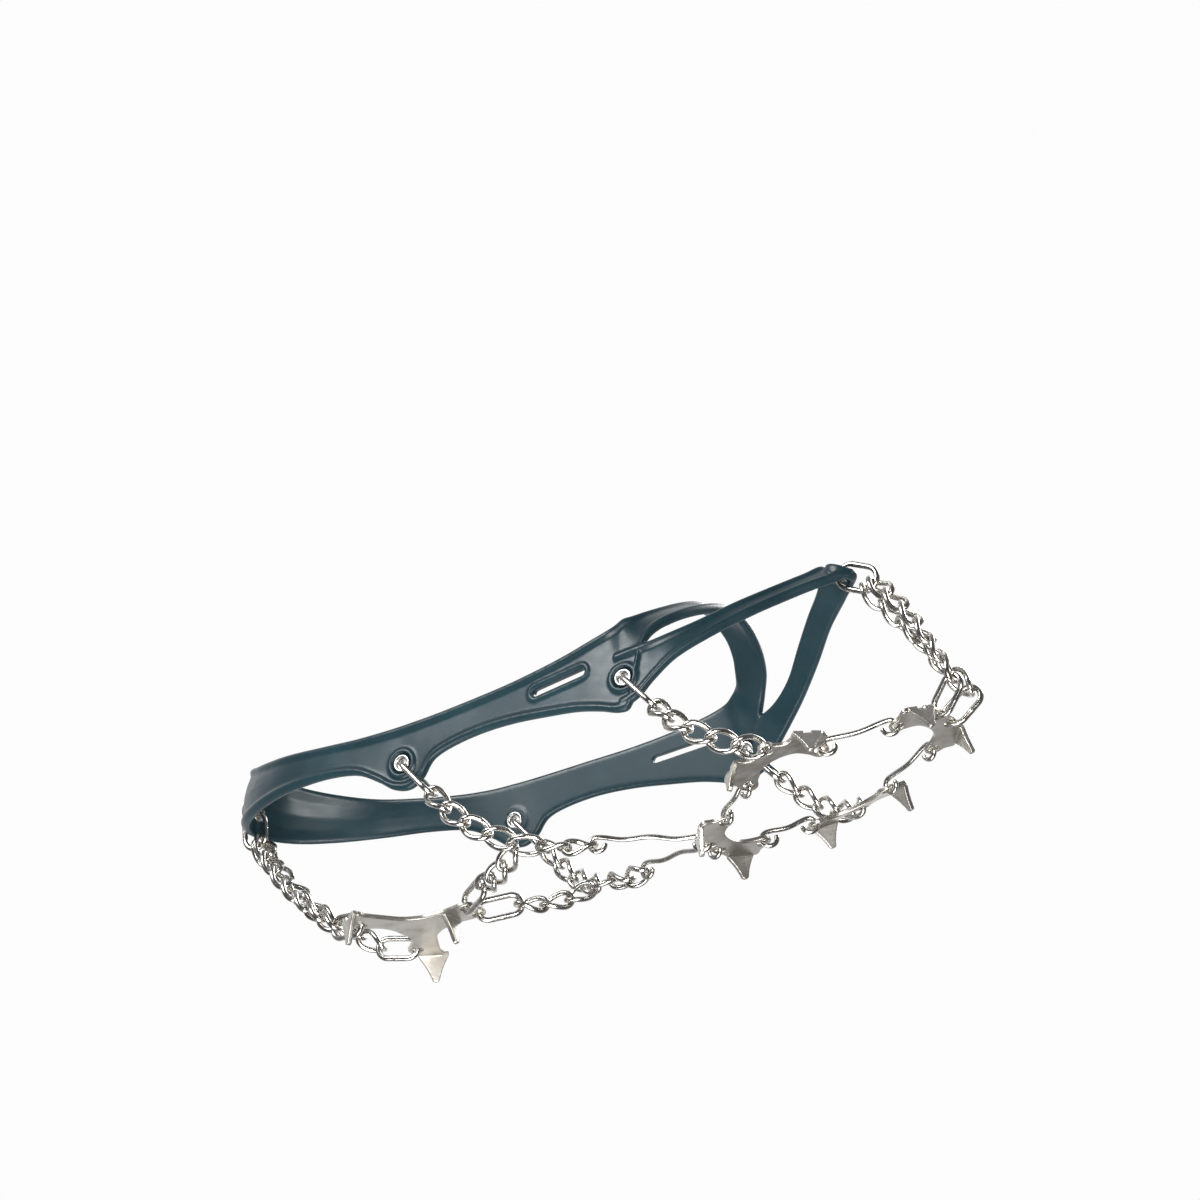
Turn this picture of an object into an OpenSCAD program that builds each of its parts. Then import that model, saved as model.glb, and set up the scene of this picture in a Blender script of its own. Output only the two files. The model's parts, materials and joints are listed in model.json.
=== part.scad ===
// Shoe ice cleat: elastomer harness, chain runs, wavy wires and toothed steel plates.
// x runs from the heel to the toe, y to the left, z up. z = 0 is the tread plane under the heel.

/* [Harness] */
// Thickness of the flat part of the band (mm)
band_thickness = 3.0; // [2:0.1:5]
// Height of the bead along the band's edges above the mid surface (mm)
bead_height = 2.2; // [1.6:0.1:3]
// Length of the side slot between its end centres (mm)
slot_length = 21; // [12:0.5:26]
// Width of the side slot (mm)
slot_width = 3.2; // [2:0.1:5]

/* [Eyelets] */
// Bore radius of an eyelet (mm)
eyelet_bore = 2.0; // [1.7:0.05:2.4]
// Barrel radius of an eyelet (mm)
eyelet_barrel = 2.6; // [2.4:0.05:3]
// Flange radius of an eyelet (mm)
eyelet_flange = 3.5; // [3:0.1:4.5]

/* [Curb chain] */
// Wire diameter of a curb link (mm)
chain_wire = 2.1; // [1.6:0.1:2.6]
// Gap between two curb links where they bear (mm)
chain_gap = 0.3; // [0.1:0.05:0.5]
// Outer length of a curb link (mm)
link_length = 14.4; // [12:0.1:18]
// Outer width of a curb link (mm)
link_width = 9.5; // [8:0.1:12]
// Twist of a curb link to each side of its middle (degrees)
link_twist = 45; // [30:1:50]
// Outer length of the junction link where three runs meet (mm)
junction_length = 15.5; // [14:0.1:18]
// Outer width of the junction link (mm)
junction_width = 12.3; // [10:0.1:14]

/* [Long links] */
// Wire diameter of a long link (mm)
long_wire = 2.3; // [1.8:0.1:2.8]
// Outer width of a long link (mm)
long_width = 10.4; // [9:0.1:13]
// Outer width of the heel and toe long links, which hold two runs each (mm)
end_width = 12; // [10:0.1:13]
// Reach of the side long links, centre line to centre line (mm)
side_reach = 20; // [16:0.5:24]
// Reach of the heel long link, centre line to centre line (mm)
heel_reach = 14.6; // [12:0.1:20]
// Reach of the toe long link, centre line to centre line (mm)
toe_reach = 16.2; // [12:0.1:20]
// Reach of the lower long links, centre line to centre line (mm)
lower_reach = 16; // [14:0.5:20]
// Reach of the long links ahead of the heel plate (mm)
front_reach = 17.6; // [14:0.1:20]

/* [Wavy wires] */
// Wire diameter of a wavy wire (mm)
wavy_wire = 1.9; // [1.5:0.1:2.3]
// Centre-line radius of the eye at each end of a wavy wire (mm)
eye_radius = 2.9; // [2.4:0.05:3.5]
// Height of the waves (mm)
wave_height = 1.0; // [0.4:0.1:2]
// Reach of the rear wavy wires, hole to eye (mm)
rear_wire_reach = 45.2; // [34:0.1:46]

/* [Plates] */
// Thickness of the plate steel (mm)
plate_thickness = 1.8; // [1.4:0.1:2.6]
// Radius of the holes in the plates (mm)
hole_radius = 2.05; // [1.6:0.05:2.2]
// Height of a tooth on the heel plate (mm)
heel_tooth = 11.6; // [8:0.2:14]
// Height of a tooth on a forefoot plate (mm)
fore_tooth = 10; // [7:0.2:13]
// Width of a tooth at its root on the heel plate (mm)
heel_tooth_width = 12; // [9:0.2:14]
// Width of a tooth at its root on a forefoot plate (mm)
fore_tooth_width = 10.6; // [8:0.2:12]

/* [Hidden] */

STEEL = [0.76, 0.75, 0.72];
ELASTOMER = [0.05, 0.17, 0.22];
$fn = 48;

// Vector helpers
function unit(v) = v / norm(v);
function perp(v, t) = unit(v - (v * t) * t);
function turn(v, k, a) = v * cos(a) + cross(k, v) * sin(a) + k * (k * v) * (1 - cos(a));
function mirror_y(v, side) = [v[0], v[1] * side, v[2]];

// Right side is y < 0, left side is y > 0.
RIGHT = -1;
LEFT = 1;

// Attachment points on the left side, mirrored for the right
heel_eye = [4.3, 0, 67.8];
rear_eye = [98.6, 42.1, 47.5];
fore_eye = [199.4, 49.1, 47.7];
toe_eye = [270.3, 0, 82.6];
heel_pull = unit([-0.07, 0, -1]);
rear_pull = unit([0.58, 0.055, -0.81]);
fore_pull_raw = [0.74, 0.085, -0.98];
fore_pull = unit(fore_pull_raw);
toe_pull = unit([0.88, 0, -0.475]);
junction = [133.1, 31.7, 6.7];

heel_plate_at = [74, 0, 0];
instep_plate_at = [202.4, 0, -6];
side_plate_at = [247, 39.7, 7.3];
toe_plate_at = [301, 0, 14.2];
instep_pitch = 9.7;
side_pitch = 8;
side_roll = 17;
toe_pitch = 16.5;

heel_front_hole = [22.4, 4.8, 0];
heel_rear_hole = [-14.6, 20.5, 0];
apex_hole = [0, 3.8, 0];
toe_apex_hole = [0, 4.7, 0];
arm_hole = [-12.5, 15.2, 0];

// Plate frames: local x points outward, local z is the plate's normal
function instep_point(p) = instep_plate_at + pitch_y([-p[0], -p[1], p[2]], instep_pitch);
function toe_point(p) = toe_plate_at + pitch_y(p, toe_pitch);
function side_point(p) =
    side_plate_at + pitch_y([-p[1], p[0] * cos(side_roll) - p[2] * sin(side_roll),
        p[0] * sin(side_roll) + p[2] * cos(side_roll)], side_pitch);
function pitch_y(p, a) = [p[0] * cos(a) - p[2] * sin(a), p[1], p[0] * sin(a) + p[2] * cos(a)];
function up(a) = [-sin(a), 0, cos(a)];

// Tube swept along rings of points
function ring_faces(n, m, closed) = [
    for (i = [0 : closed ? n - 1 : n - 2])
    for (j = [0 : m - 1])
    let (
        a = i * m + j,
        b = i * m + (j + 1) % m,
        c = ((i + 1) % n) * m + (j + 1) % m,
        d = ((i + 1) % n) * m + j
    )
    each [[a, c, b], [a, d, c]]
];
function cap_faces(n, m) = [
    [for (j = [0 : m - 1]) j],
    [for (j = [m - 1 : -1 : 0]) (n - 1) * m + j]
];

// Curb link, centred on the origin and running along x
RINGS = 14;
SIDES = 6;
half_run = (link_length - chain_wire) / 2;
half_span = (link_width - chain_wire) / 2;
pitch = link_length - 2 * chain_wire - chain_gap;
function span_power(s) = sign(s) * pow(abs(s), 0.85);
function link_at(a, hand, run, span) =
    let (
        x = run * cos(a),
        w = span * span_power(sin(a)),
        f = hand * link_twist * x / run
    )
    [x, w * cos(f), w * sin(f)];
function link_ring(a, hand, run, span) =
    let (
        c = link_at(a, hand, run, span),
        t = unit(link_at(a + 4, hand, run, span) - link_at(a - 4, hand, run, span)),
        n = perp(c, t),
        b = cross(t, n)
    )
    [for (j = [0 : SIDES - 1]) c + (n * cos(j * 360 / SIDES) + b * sin(j * 360 / SIDES)) * chain_wire / 2];

module curb_link(hand, run = half_run, span = half_span) {
    polyhedron(
        points = [for (i = [0 : RINGS - 1]) each link_ring(i * 360 / RINGS, hand, run, span)],
        faces = ring_faces(RINGS, SIDES, true),
        convexity = 6
    );
}

// Local x to t, local y to e
module place(at, t, e) {
    f = cross(t, e);
    translate(at)
        rotate([atan2(e[2], f[2]), asin(max(-1, min(1, -t[2]))), atan2(t[1], t[0])])
            children();
}

// A run of curb links from one bearing point to another, bowed by its slack towards "bow"
function run_length(count) = (count - 1) * pitch + 2 * half_run;
function sag(chord, length) = sqrt(max(0.0001, 3 * chord * (length - chord) / 8));
function on_bow(a, b, bow, f, s) = a + (b - a) * s + bow * (4 * f * s * (1 - s));
function bow_fraction(l, c, f, s, k) = k == 0 ? s :
    bow_fraction(l, c, f, (l - 8 * f * f / c * (1 - pow(1 - 2 * s, 3)) / 6) / c, k - 1);
function along(a, b, bow, total, l) =
    let (c = norm(b - a), f = sag(c, total))
    on_bow(a, b, bow, f, bow_fraction(l, c, f, l / c, 6));

// Bearing points of link i on a bowed line
function link_rear(a, b, bow, total, start, i) = along(a, b, bow, total, start + i * pitch);
function link_front(a, b, bow, total, start, i) =
    along(a, b, bow, total, start + i * pitch + 2 * half_run);

// The plane of a run's first bearing holds "first"; the plane of its last bearing holds "last".
function signed_angle(u, v, t) = atan2(cross(u, v) * t, u * v);
function wrap_half(a, low) = a < low ? wrap_half(a + 180, low) : a >= low + 180 ? wrap_half(a - 180, low) : a;

module run(a, b, bow, total, start, count, first, last, hand) {
    t0 = unit(link_front(a, b, bow, total, start, 0) - link_rear(a, b, bow, total, start, 0));
    tn = unit(link_front(a, b, bow, total, start, count - 1) - link_rear(a, b, bow, total, start, count - 1));
    t_mid = unit(b - a);
    side = cross(t_mid, bow);
    // turn needed beyond the links' own twist, shared out between them
    f0 = signed_angle(perp(side, t0), perp(first, t0), t0);
    fn = signed_angle(perp(side, tn), perp(last, tn), tn);
    need = wrap_half(hand * (fn - f0) - 2 * link_twist, -150);
    step = hand * need / (count - 1);
    for (i = [0 : count - 1]) {
        r = link_rear(a, b, bow, total, start, i);
        e = link_front(a, b, bow, total, start, i);
        t = unit(e - r);
        y = turn(perp(side, t), t, f0 + hand * link_twist + i * step);
        place((r + e) / 2, t, y)
            curb_link(hand);
    }
}

// Long link: p and q are the centre-line ends, its plane holds "n"
module long_link(p, q, n, width = long_width) {
    reach = norm(q - p);
    t = (q - p) / reach;
    r = (width - long_wire) / 2;
    place(p, t, perp(n, t)) {
        translate([r, 0, 0])
            rotate([0, 0, 90])
                rotate_extrude(angle = 180)
                    translate([r, 0])
                        circle(d = long_wire);
        translate([reach - r, 0, 0])
            rotate([0, 0, -90])
                rotate_extrude(angle = 180)
                    translate([r, 0])
                        circle(d = long_wire);
        for (s = [-1, 1])
            translate([r, s * r, 0])
                rotate([0, 90, 0])
                    cylinder(d = long_wire, h = reach - 2 * r);
    }
}

// Wavy wire in the plane of x (hole to hole) and y (up)
WIRE_SIDES = 8;
eye_gap = eye_radius * 2 - 0.55;
function eye_points(from, to, count) = [
    for (i = [0 : count])
    let (a = from + (to - from) * i / count)
    [eye_radius + eye_radius * cos(a), eye_radius * sin(a), 0]
];
function wave_points(reach, waves, count) = [
    for (i = [1 : count - 1])
    let (s = i / count, x = eye_radius + (reach - 2 * eye_radius) * s)
    [x, eye_radius - wave_height * (1 - cos(360 * waves * s)) / 2, 0]
];
function wire_points(reach, waves) = concat(
    eye_points(368, 90, 12),
    wave_points(reach, waves, 10),
    [for (p = eye_points(90, 368, 12)) [reach - p[0], p[1], 0]]
);
function wire_ring(pts, i) =
    let (
        n = len(pts),
        t = unit(pts[min(i + 1, n - 1)] - pts[max(i - 1, 0)]),
        b = cross([0, 0, 1], t)
    )
    [for (j = [0 : WIRE_SIDES - 1])
        pts[i] + ([0, 0, 1] * cos(j * 360 / WIRE_SIDES) - b * sin(j * 360 / WIRE_SIDES)) * wavy_wire / 2];

module wavy(p, q, n, waves) {
    reach = norm(q - p);
    t = (q - p) / reach;
    pts = wire_points(reach, waves);
    place(p, t, perp(n, t))
        polyhedron(
            points = [for (i = [0 : len(pts) - 1]) each wire_ring(pts, i)],
            faces = concat(ring_faces(len(pts), WIRE_SIDES, false), cap_faces(len(pts), WIRE_SIDES)),
            convexity = 6
        );
}

// Smooth closed outline through points
function spline(p0, p1, p2, p3, t) =
    0.5 * (2 * p1 + (p2 - p0) * t + (2 * p0 - 5 * p1 + 4 * p2 - p3) * t * t
        + (3 * p1 - p0 - 3 * p2 + p3) * t * t * t);
function smooth_loop(p, k) = [
    for (i = [0 : len(p) - 1])
    for (j = [0 : k - 1])
    let (n = len(p))
    spline(p[(i + n - 1) % n], p[i], p[(i + 1) % n], p[(i + 2) % n], j / k)
];
function smooth_open(p, k) = concat([
    for (i = [0 : len(p) - 2])
    for (j = [0 : k - 1])
    let (n = len(p))
    spline(p[max(i - 1, 0)], p[i], p[i + 1], p[min(i + 2, n - 1)], j / k)
], [p[len(p) - 1]]);

// Tooth folded down at a plate's edge: local x outward, hanging from z = 0
module tooth(width, height, lean) {
    rotate([0, lean, 0])
        translate([plate_thickness / 2, 0, 0])
            rotate([0, -90, 0])
                linear_extrude(height = plate_thickness)
                    polygon([
                        [plate_thickness / 2, -width / 2],
                        [-1.2, -width / 2],
                        [-height + 0.5, -1.1],
                        [-height, -0.6],
                        [-height, 0.6],
                        [-height + 0.5, 1.1],
                        [-1.2, width / 2],
                        [plate_thickness / 2, width / 2]
                    ]);
}

// Heel plate: three arms, three teeth
heel_half_outline = [
    [26.5, 0], [25.8, 5.4], [23, 8], [18.5, 7.6], [13, 6.9], [5.5, 8.2], [-0.5, 12.5], [-4.5, 19.5],
    [-8.2, 27.3], [-9.2, 31.2], [-13.5, 31.2], [-18.6, 26.2], [-18.4, 22.5], [-18, 18.8], [-15.2, 15.8],
    [-11.6, 11.5], [-9.8, 6.5], [-9.4, 0]
];
rear_tooth_at = [-13.6, 30.6, 0];
rear_tooth_turn = 127;
front_tooth_at = [13.4, 0, 0];

module heel_blank() {
    n = len(heel_half_outline);
    loop = concat(
        heel_half_outline,
        [for (i = [n - 2 : -1 : 1]) [heel_half_outline[i][0], -heel_half_outline[i][1]]]
    );
    translate([0, 0, -plate_thickness / 2])
        linear_extrude(height = plate_thickness)
            polygon(smooth_loop(loop, 3));
}

module heel_plate() {
    translate(heel_plate_at) {
        difference() {
            heel_blank();
            for (s = [-1, 1]) {
                translate([heel_front_hole[0], s * heel_front_hole[1], -5])
                    cylinder(r = hole_radius, h = 10);
                translate([heel_rear_hole[0], s * heel_rear_hole[1], -5])
                    cylinder(r = hole_radius, h = 10);
            }
        }
        for (s = [-1, 1])
            translate([rear_tooth_at[0], s * rear_tooth_at[1], 0])
                rotate([0, 0, s * rear_tooth_turn])
                    tooth(heel_tooth_width, heel_tooth, -8);
        translate(front_tooth_at)
            tooth(heel_tooth_width, heel_tooth, -4);
    }
}

// Forefoot plate: a crescent with two teeth; local x points outward
brow_outline = [[2.7, 0], [2.78, 4.4], [1.7, 8.2]];
ear_outline = [[3.1, 0], [2.4, 2.2], [0.4, 3.5], [-1.3, 6.6], [-0.7, 9.6]];
arm_outline = [
    [1.0, 12.4], [-3.4, 19.2], [-6.8, 21.6], [-10, 19.2], [-13.4, 18.5],
    [-15.8, 16.2], [-15.2, 12.8], [-11.6, 10.6], [-8.4, 7.6], [-7, 4], [-6.6, 0]
];
fore_tooth_at = [-1.9, 16.2, 0];
fore_tooth_turn = 39;

module fore_blank(ear) {
    half = concat(ear ? ear_outline : brow_outline, arm_outline);
    n = len(half);
    loop = concat(half, [for (i = [n - 2 : -1 : 1]) [half[i][0], -half[i][1]]]);
    translate([0, 0, -plate_thickness / 2])
        linear_extrude(height = plate_thickness)
            polygon(smooth_loop(loop, 3));
}

module fore_plate(apex) {
    difference() {
        fore_blank(apex == 0);
        for (s = apex == 0 ? [0] : [-apex, apex])
            translate([0, s, -5])
                cylinder(r = hole_radius, h = 10);
        for (s = [-1, 1])
            translate([arm_hole[0], s * arm_hole[1], -5])
                cylinder(r = hole_radius, h = 10);
    }
    for (s = [-1, 1])
        translate([fore_tooth_at[0], s * fore_tooth_at[1], 0])
            rotate([0, 0, s * fore_tooth_turn])
                tooth(fore_tooth_width, fore_tooth, -10);
}

// Harness band: lower edge, upper edge and outward bow of each station, left half
band_stations = [
    [3.5, 0, 58.3, 11.5, 0, 83.5, 2.5],
    [6, 9, 58, 14, 9, 82, 2.3],
    [13.5, 18.5, 57.2, 20.5, 16.5, 78.5, 1.8],
    [26, 27.5, 56.5, 31, 25, 74.8, 1.2],
    [42, 34.5, 55.5, 44, 32.5, 71.3, 0.8],
    [61, 39, 53.5, 62, 37, 67.6, 0.4],
    [77, 41, 49.8, 77, 39.5, 65, 0.2],
    [87, 42, 43.5, 87, 40.8, 63.8, 0],
    [93.5, 42.3, 38.3, 93, 41.3, 63.3, 0],
    [100.5, 42.5, 36.3, 99.5, 41.6, 63, 0],
    [106.5, 42.7, 39, 106, 42, 62.8, 0],
    [112, 43, 44.6, 112, 42.2, 62.7, 0],
    [121, 43.5, 47, 121, 42.7, 62.7, 0],
    [135, 44.5, 47.8, 135, 43.6, 62.9, 0],
    [150, 46, 46.6, 150, 45, 63.2, 0],
    [165, 47.5, 44, 165, 46.4, 64.2, 0],
    [178, 48.8, 41.3, 177, 47.3, 65.6, 0],
    [188, 49.8, 38, 187, 48, 67.3, 0],
    [196, 50.3, 34.8, 194, 47.6, 69, 0],
    [201, 50.2, 36, 198, 46, 71, 0],
    [205, 49.2, 48, 200.5, 44.6, 72.8, 0],
    [207.5, 47.4, 57.5, 202.5, 42, 73.6, 0.3],
    [212, 44, 64.5, 205, 36.5, 75.4, 0.6],
    [218, 36, 70, 208.5, 28.5, 78.4, 0.8],
    [222.5, 24.5, 75, 211, 19.5, 82, 0.8],
    [225.2, 12, 78.8, 211.8, 9.5, 85.4, 0.8],
    [226, 0, 80.4, 212, 0, 87, 0.8]
];
strap_stations = [
    [197.5, 50.2, 36.2, 196.5, 48.2, 58.6, 0],
    [204.5, 50.1, 38.2, 203.8, 47.8, 59.2, 0],
    [211, 48.6, 43.8, 211, 46.4, 60, 0],
    [219.5, 45.7, 50.5, 218.5, 42.8, 62.2, 0.2],
    [230, 39.5, 56.8, 227.2, 36.2, 66, 0.4],
    [243, 29.5, 64.4, 237, 26.3, 72, 0.5],
    [255, 18.5, 71.2, 247.8, 15.6, 78, 0.5],
    [267.5, 9, 76.6, 257, 7, 82.6, 0.4],
    [276.6, 0, 79.9, 261.8, 0, 86.2, 0.2]
];
BAND_POINTS = 10;
BAND_STEPS = 2;
STRAP_STEPS = 3;
function flip(s) = [s[0], -s[1], s[2], s[3], -s[4], s[5], s[6]];
function low(s) = [s[0], s[1], s[2]];
function high(s) = [s[3], s[4], s[5]];
function band_ring(s, t) =
    let (
        w = high(s) - low(s),
        width = norm(w),
        u = w / width,
        n = unit(cross(u, t)),
        half = band_thickness / 2,
        face = [
            [0, 0], [0.9, bead_height], [2.9, bead_height], [4.1, half],
            [width - 4.1, half], [width - 2.9, bead_height], [width - 0.9, bead_height], [width, 0],
            [width - 0.9, -half], [0.9, -half]
        ]
    )
    [for (p = face) low(s) + u * p[0] + n * (p[1] + 4 * s[6] * (p[0] / width) * (1 - p[0] / width))];
function mid(s) = (low(s) + high(s)) / 2;
function loop_rings(p) = [
    for (i = [0 : len(p) - 1])
    let (n = len(p))
    each band_ring(p[i], unit(mid(p[(i + 1) % n]) - mid(p[(i + n - 1) % n])))
];
function open_rings(p) = [
    for (i = [0 : len(p) - 1])
    let (n = len(p))
    each band_ring(p[i], unit(mid(p[min(i + 1, n - 1)]) - mid(p[max(i - 1, 0)])))
];

module band_loop() {
    n = len(band_stations);
    whole = concat(band_stations, [for (i = [n - 2 : -1 : 1]) flip(band_stations[i])]);
    p = smooth_loop(whole, BAND_STEPS);
    polyhedron(points = loop_rings(p), faces = ring_faces(len(p), BAND_POINTS, true), convexity = 10);
}

module front_strap() {
    n = len(strap_stations);
    whole = concat(strap_stations, [for (i = [n - 2 : -1 : 0]) flip(strap_stations[i])]);
    p = smooth_open(whole, STRAP_STEPS);
    polyhedron(
        points = open_rings(p),
        faces = concat(ring_faces(len(p), BAND_POINTS, false), cap_faces(len(p), BAND_POINTS)),
        convexity = 10
    );
}

// Eyelet seats: centre, outward direction
heel_out = perp([-1, 0, 0], heel_pull);
toe_out = perp([0, 0, 1], toe_pull);
rear_out = unit([0, 1, 0.035]);
fore_out = unit([0.05, 1, 0.09]);
seats = [
    [heel_eye, heel_out],
    [rear_eye, rear_out],
    [mirror_y(rear_eye, RIGHT), mirror_y(rear_out, RIGHT)],
    [fore_eye, fore_out],
    [mirror_y(fore_eye, RIGHT), mirror_y(fore_out, RIGHT)],
    [toe_eye, toe_out]
];
seat_half = 1.6;
flange_thickness = 0.5;
slot_at = [172, 47.1, 55.6];
slot_tilt = -2.5;

module seat_frame(seat) {
    d = seat[1];
    translate(seat[0])
        rotate([0, acos(d[2]), atan2(d[1], d[0])])
            children();
}

function slot_outline(width) = [
    for (e = [1, -1])
    for (i = [0 : 8])
    let (a = -90 + i * 22.5)
    [e * (slot_length / 2 + width / 2 * cos(a)), e * width / 2 * sin(a)]
];
module slot_solid(width, depth) {
    rotate([90, 0, 0])
        translate([0, 0, -depth / 2])
            linear_extrude(height = depth)
                polygon(slot_outline(width));
}

module slot_frame(side) {
    translate(mirror_y(slot_at, side))
        rotate([0, slot_tilt, side * 5])
            children();
}

// Room for an eyelet: a bore, wider where the flanges sit
module eyelet_room(seat) {
    wide = eyelet_flange + 0.9;
    seat_frame(seat)
        rotate_extrude()
            polygon([
                [0, -6], [wide, -6], [wide, -seat_half], [eyelet_barrel, -seat_half],
                [eyelet_barrel, seat_half], [wide, seat_half], [wide, 6], [0, 6]
            ]);
}

module harness_band() {
    color(ELASTOMER)
        difference() {
            band_loop();
            for (i = [0 : 4])
                eyelet_room(seats[i]);
            for (side = [RIGHT, LEFT])
                slot_frame(side)
                    slot_solid(slot_width, 14);
        }
}

module harness_strap() {
    color(ELASTOMER)
        difference() {
            front_strap();
            for (i = [3 : 5])
                eyelet_room(seats[i]);
        }
}

// Eyelet: a barrel with a flange on each face
module eyelet(seat) {
    color(STEEL)
        seat_frame(seat)
            rotate_extrude()
                polygon([
                    [eyelet_bore, -seat_half],
                    [eyelet_bore + 0.5, -seat_half - flange_thickness],
                    [eyelet_flange, -seat_half - flange_thickness],
                    [eyelet_flange, -seat_half],
                    [eyelet_barrel, -seat_half],
                    [eyelet_barrel, seat_half],
                    [eyelet_flange, seat_half],
                    [eyelet_flange, seat_half + flange_thickness],
                    [eyelet_bore + 0.5, seat_half + flange_thickness],
                    [eyelet_bore, seat_half]
                ]);
}

// Where the long links bear and end
bear = 0.3;
bite = (long_wire + chain_wire) / 2 + chain_gap;
chain_bite = chain_wire + chain_gap;
wire_bite = (wavy_wire + chain_wire) / 2 + chain_gap;

function long_start(eye, pull) = eye - pull * bear;
function long_end(eye, pull, reach) = eye + pull * (reach - bear);

// Side run: eyelet, long link, curb links
module side_long(eye, pull, out, side) {
    color(STEEL)
        long_link(
            mirror_y(long_start(eye, pull), side),
            mirror_y(long_end(eye, pull, side_reach), side),
            mirror_y(out, side)
        );
}

// A run hung from a long link's end and finishing in a hole or a bearing point
module side_chain(eye, pull, goal, bow, count, first, last, side) {
    from = long_end(eye, pull, side_reach) - pull * bite;
    bow_dir = perp(bow, unit(goal - from));
    color(STEEL)
        run(
            mirror_y(from, side), mirror_y(goal, side), mirror_y(bow_dir, side),
            run_length(count), 0, count,
            mirror_y(first, side), mirror_y(last, side), side
        );
}

fore_goal = side_point([0, 0, 0]);
fore_count = 5;
rear_count = 4;
back_count = 3;
front_count = 2;
heel_count = 7;
toe_count = 6;

// Heel and toe runs: curb links, then a lower long link
heel_hole = heel_plate_at + heel_rear_hole;
toe_hole = toe_point(toe_apex_hole);
heel_bow = [-0.43, 0.11, -0.45];
rear_bow = [0.33, 0.51, -1.19];
fore_bow = [-0.17, 0.66, -0.37];
toe_bow = [0.7, 0.35, 0.35];
// The two runs share the bearing of the end long link side by side.
pair_radius = (end_width - long_wire) / 2 - bite;
heel_pair_half = 1.64;
toe_pair_half = 1.86;
heel_spread = -0.45;
toe_spread = -0.2;

function pair_point(eye, pull, reach, aim, pair_half, spread, side) =
    let (
        centre = long_end(eye, pull, reach) - pull * (end_width - long_wire) / 2,
        q = unit(cross([0, 1, 0], aim)),
        ahead = sqrt(pair_radius * pair_radius - pair_half * pair_half)
    )
    centre + aim * ahead + q * (side * pair_half) + [0, side * spread, 0];

heel_aim = unit([0.554, 0, -0.833]);
toe_aim = unit([0.345, 0, -0.9]);
heel_lift = unit([-0.94, -0.27, 0.2]);
toe_lift = unit([0.735, 0.262, 0.67]);

// From the pair point to the lower long link's upper bearing
module tail_chain(from, hole, lift, bow, count) {
    goal = hole + lift * (lower_reach - bite);
    bow_dir = perp(bow, unit(goal - from));
    color(STEEL)
        run(from, goal, bow_dir, run_length(count), 0, count, [0, 1, 0], cross(lift, perp([0, 0, 1], lift)), LEFT);
}

module tail_long(hole, lift, normal) {
    color(STEEL)
        long_link(hole - lift * 0.12, hole + lift * lower_reach, normal);
}

// Middle runs from the junction
back_hole = heel_plate_at + heel_front_hole;
front_hole = instep_point([apex_hole[0], -apex_hole[1], 0]);
junction_run = (junction_length - chain_wire) / 2;
junction_span = (junction_width - chain_wire) / 2;
to_front = unit(front_hole - junction);
from_rear = unit(rear_eye + [12, 8, -26] - junction);
to_back = unit(back_hole - junction);
junction_normal = perp(cross(from_rear, to_back), to_front);
junction_centre = junction + to_front * junction_span;
junction_fork = 26.8;
junction_rho = junction_span - chain_bite;
function fork(a) = junction_centre + turn(-to_front, junction_normal, a) * junction_rho;
rear_goal = fork(-junction_fork);
back_from = fork(junction_fork);
front_from = junction + to_front * (2 * junction_run - chain_bite);
mid_bow = [0, 0.3, -1];

module mid_back_chain(side) {
    start = back_hole + unit(back_from - back_hole) * (front_reach - bite);
    t = unit(back_hole - start);
    bow_dir = perp(mid_bow, unit(start - back_from));
    color(STEEL)
        run(
            mirror_y(back_from, side), mirror_y(start, side), mirror_y(bow_dir, side),
            run_length(back_count), 0, back_count,
            mirror_y(junction_normal, side), mirror_y(cross(t, perp([0, 0, 1], t)), side), side
        );
}

module mid_back_long(side) {
    color(STEEL)
        long_link(
            mirror_y(back_hole, side),
            mirror_y(back_hole + unit(back_from - back_hole) * front_reach, side),
            [0, 0, 1]
        );
}

module mid_front_chain(side) {
    start = front_hole + unit(front_from - front_hole) * (rear_wire_reach - wire_bite);
    t = unit(front_hole - start);
    bow_dir = perp(mid_bow, unit(start - front_from));
    flat = cross(t, perp([0, 0, 1], t));
    across = perp(cross(junction_normal, to_front), to_front);
    color(STEEL) {
        place(
            mirror_y(junction + to_front * junction_run, side),
            mirror_y(to_front, side),
            mirror_y(across, side)
        )
            curb_link(0, junction_run, junction_span);
        run(
            mirror_y(front_from, side), mirror_y(start, side), mirror_y(bow_dir, side),
            run_length(front_count), 0, front_count,
            mirror_y(junction_normal, side), mirror_y(flat, side), side
        );
    }
}

module rear_wavy(side) {
    color(STEEL)
        wavy(
            mirror_y(front_hole, side),
            mirror_y(front_hole + unit(front_from - front_hole) * rear_wire_reach, side),
            up(instep_pitch), 2
        );
}

side_normal = side_point([0, 0, 1]) - side_point([0, 0, 0]);
instep_arm = instep_point([arm_hole[0], -arm_hole[1], 0]);
side_rear_arm = side_point([arm_hole[0], arm_hole[1], 0]);
side_front_arm = side_point([arm_hole[0], -arm_hole[1], 0]);
toe_arm = toe_point(arm_hole);

module mid_wavy(side) {
    color(STEEL)
        wavy(mirror_y(instep_arm, side), mirror_y(side_rear_arm, side), up(9), 1);
}

module front_wavy(side) {
    color(STEEL)
        wavy(mirror_y(side_front_arm, side), mirror_y(toe_arm, side), up(12), 1);
}

// Sub-parts
module eyelet_heel() { eyelet(seats[0]); }
module eyelet_rear_left() { eyelet(seats[1]); }
module eyelet_rear_right() { eyelet(seats[2]); }
module eyelet_fore_left() { eyelet(seats[3]); }
module eyelet_fore_right() { eyelet(seats[4]); }
module eyelet_toe() { eyelet(seats[5]); }

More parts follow.
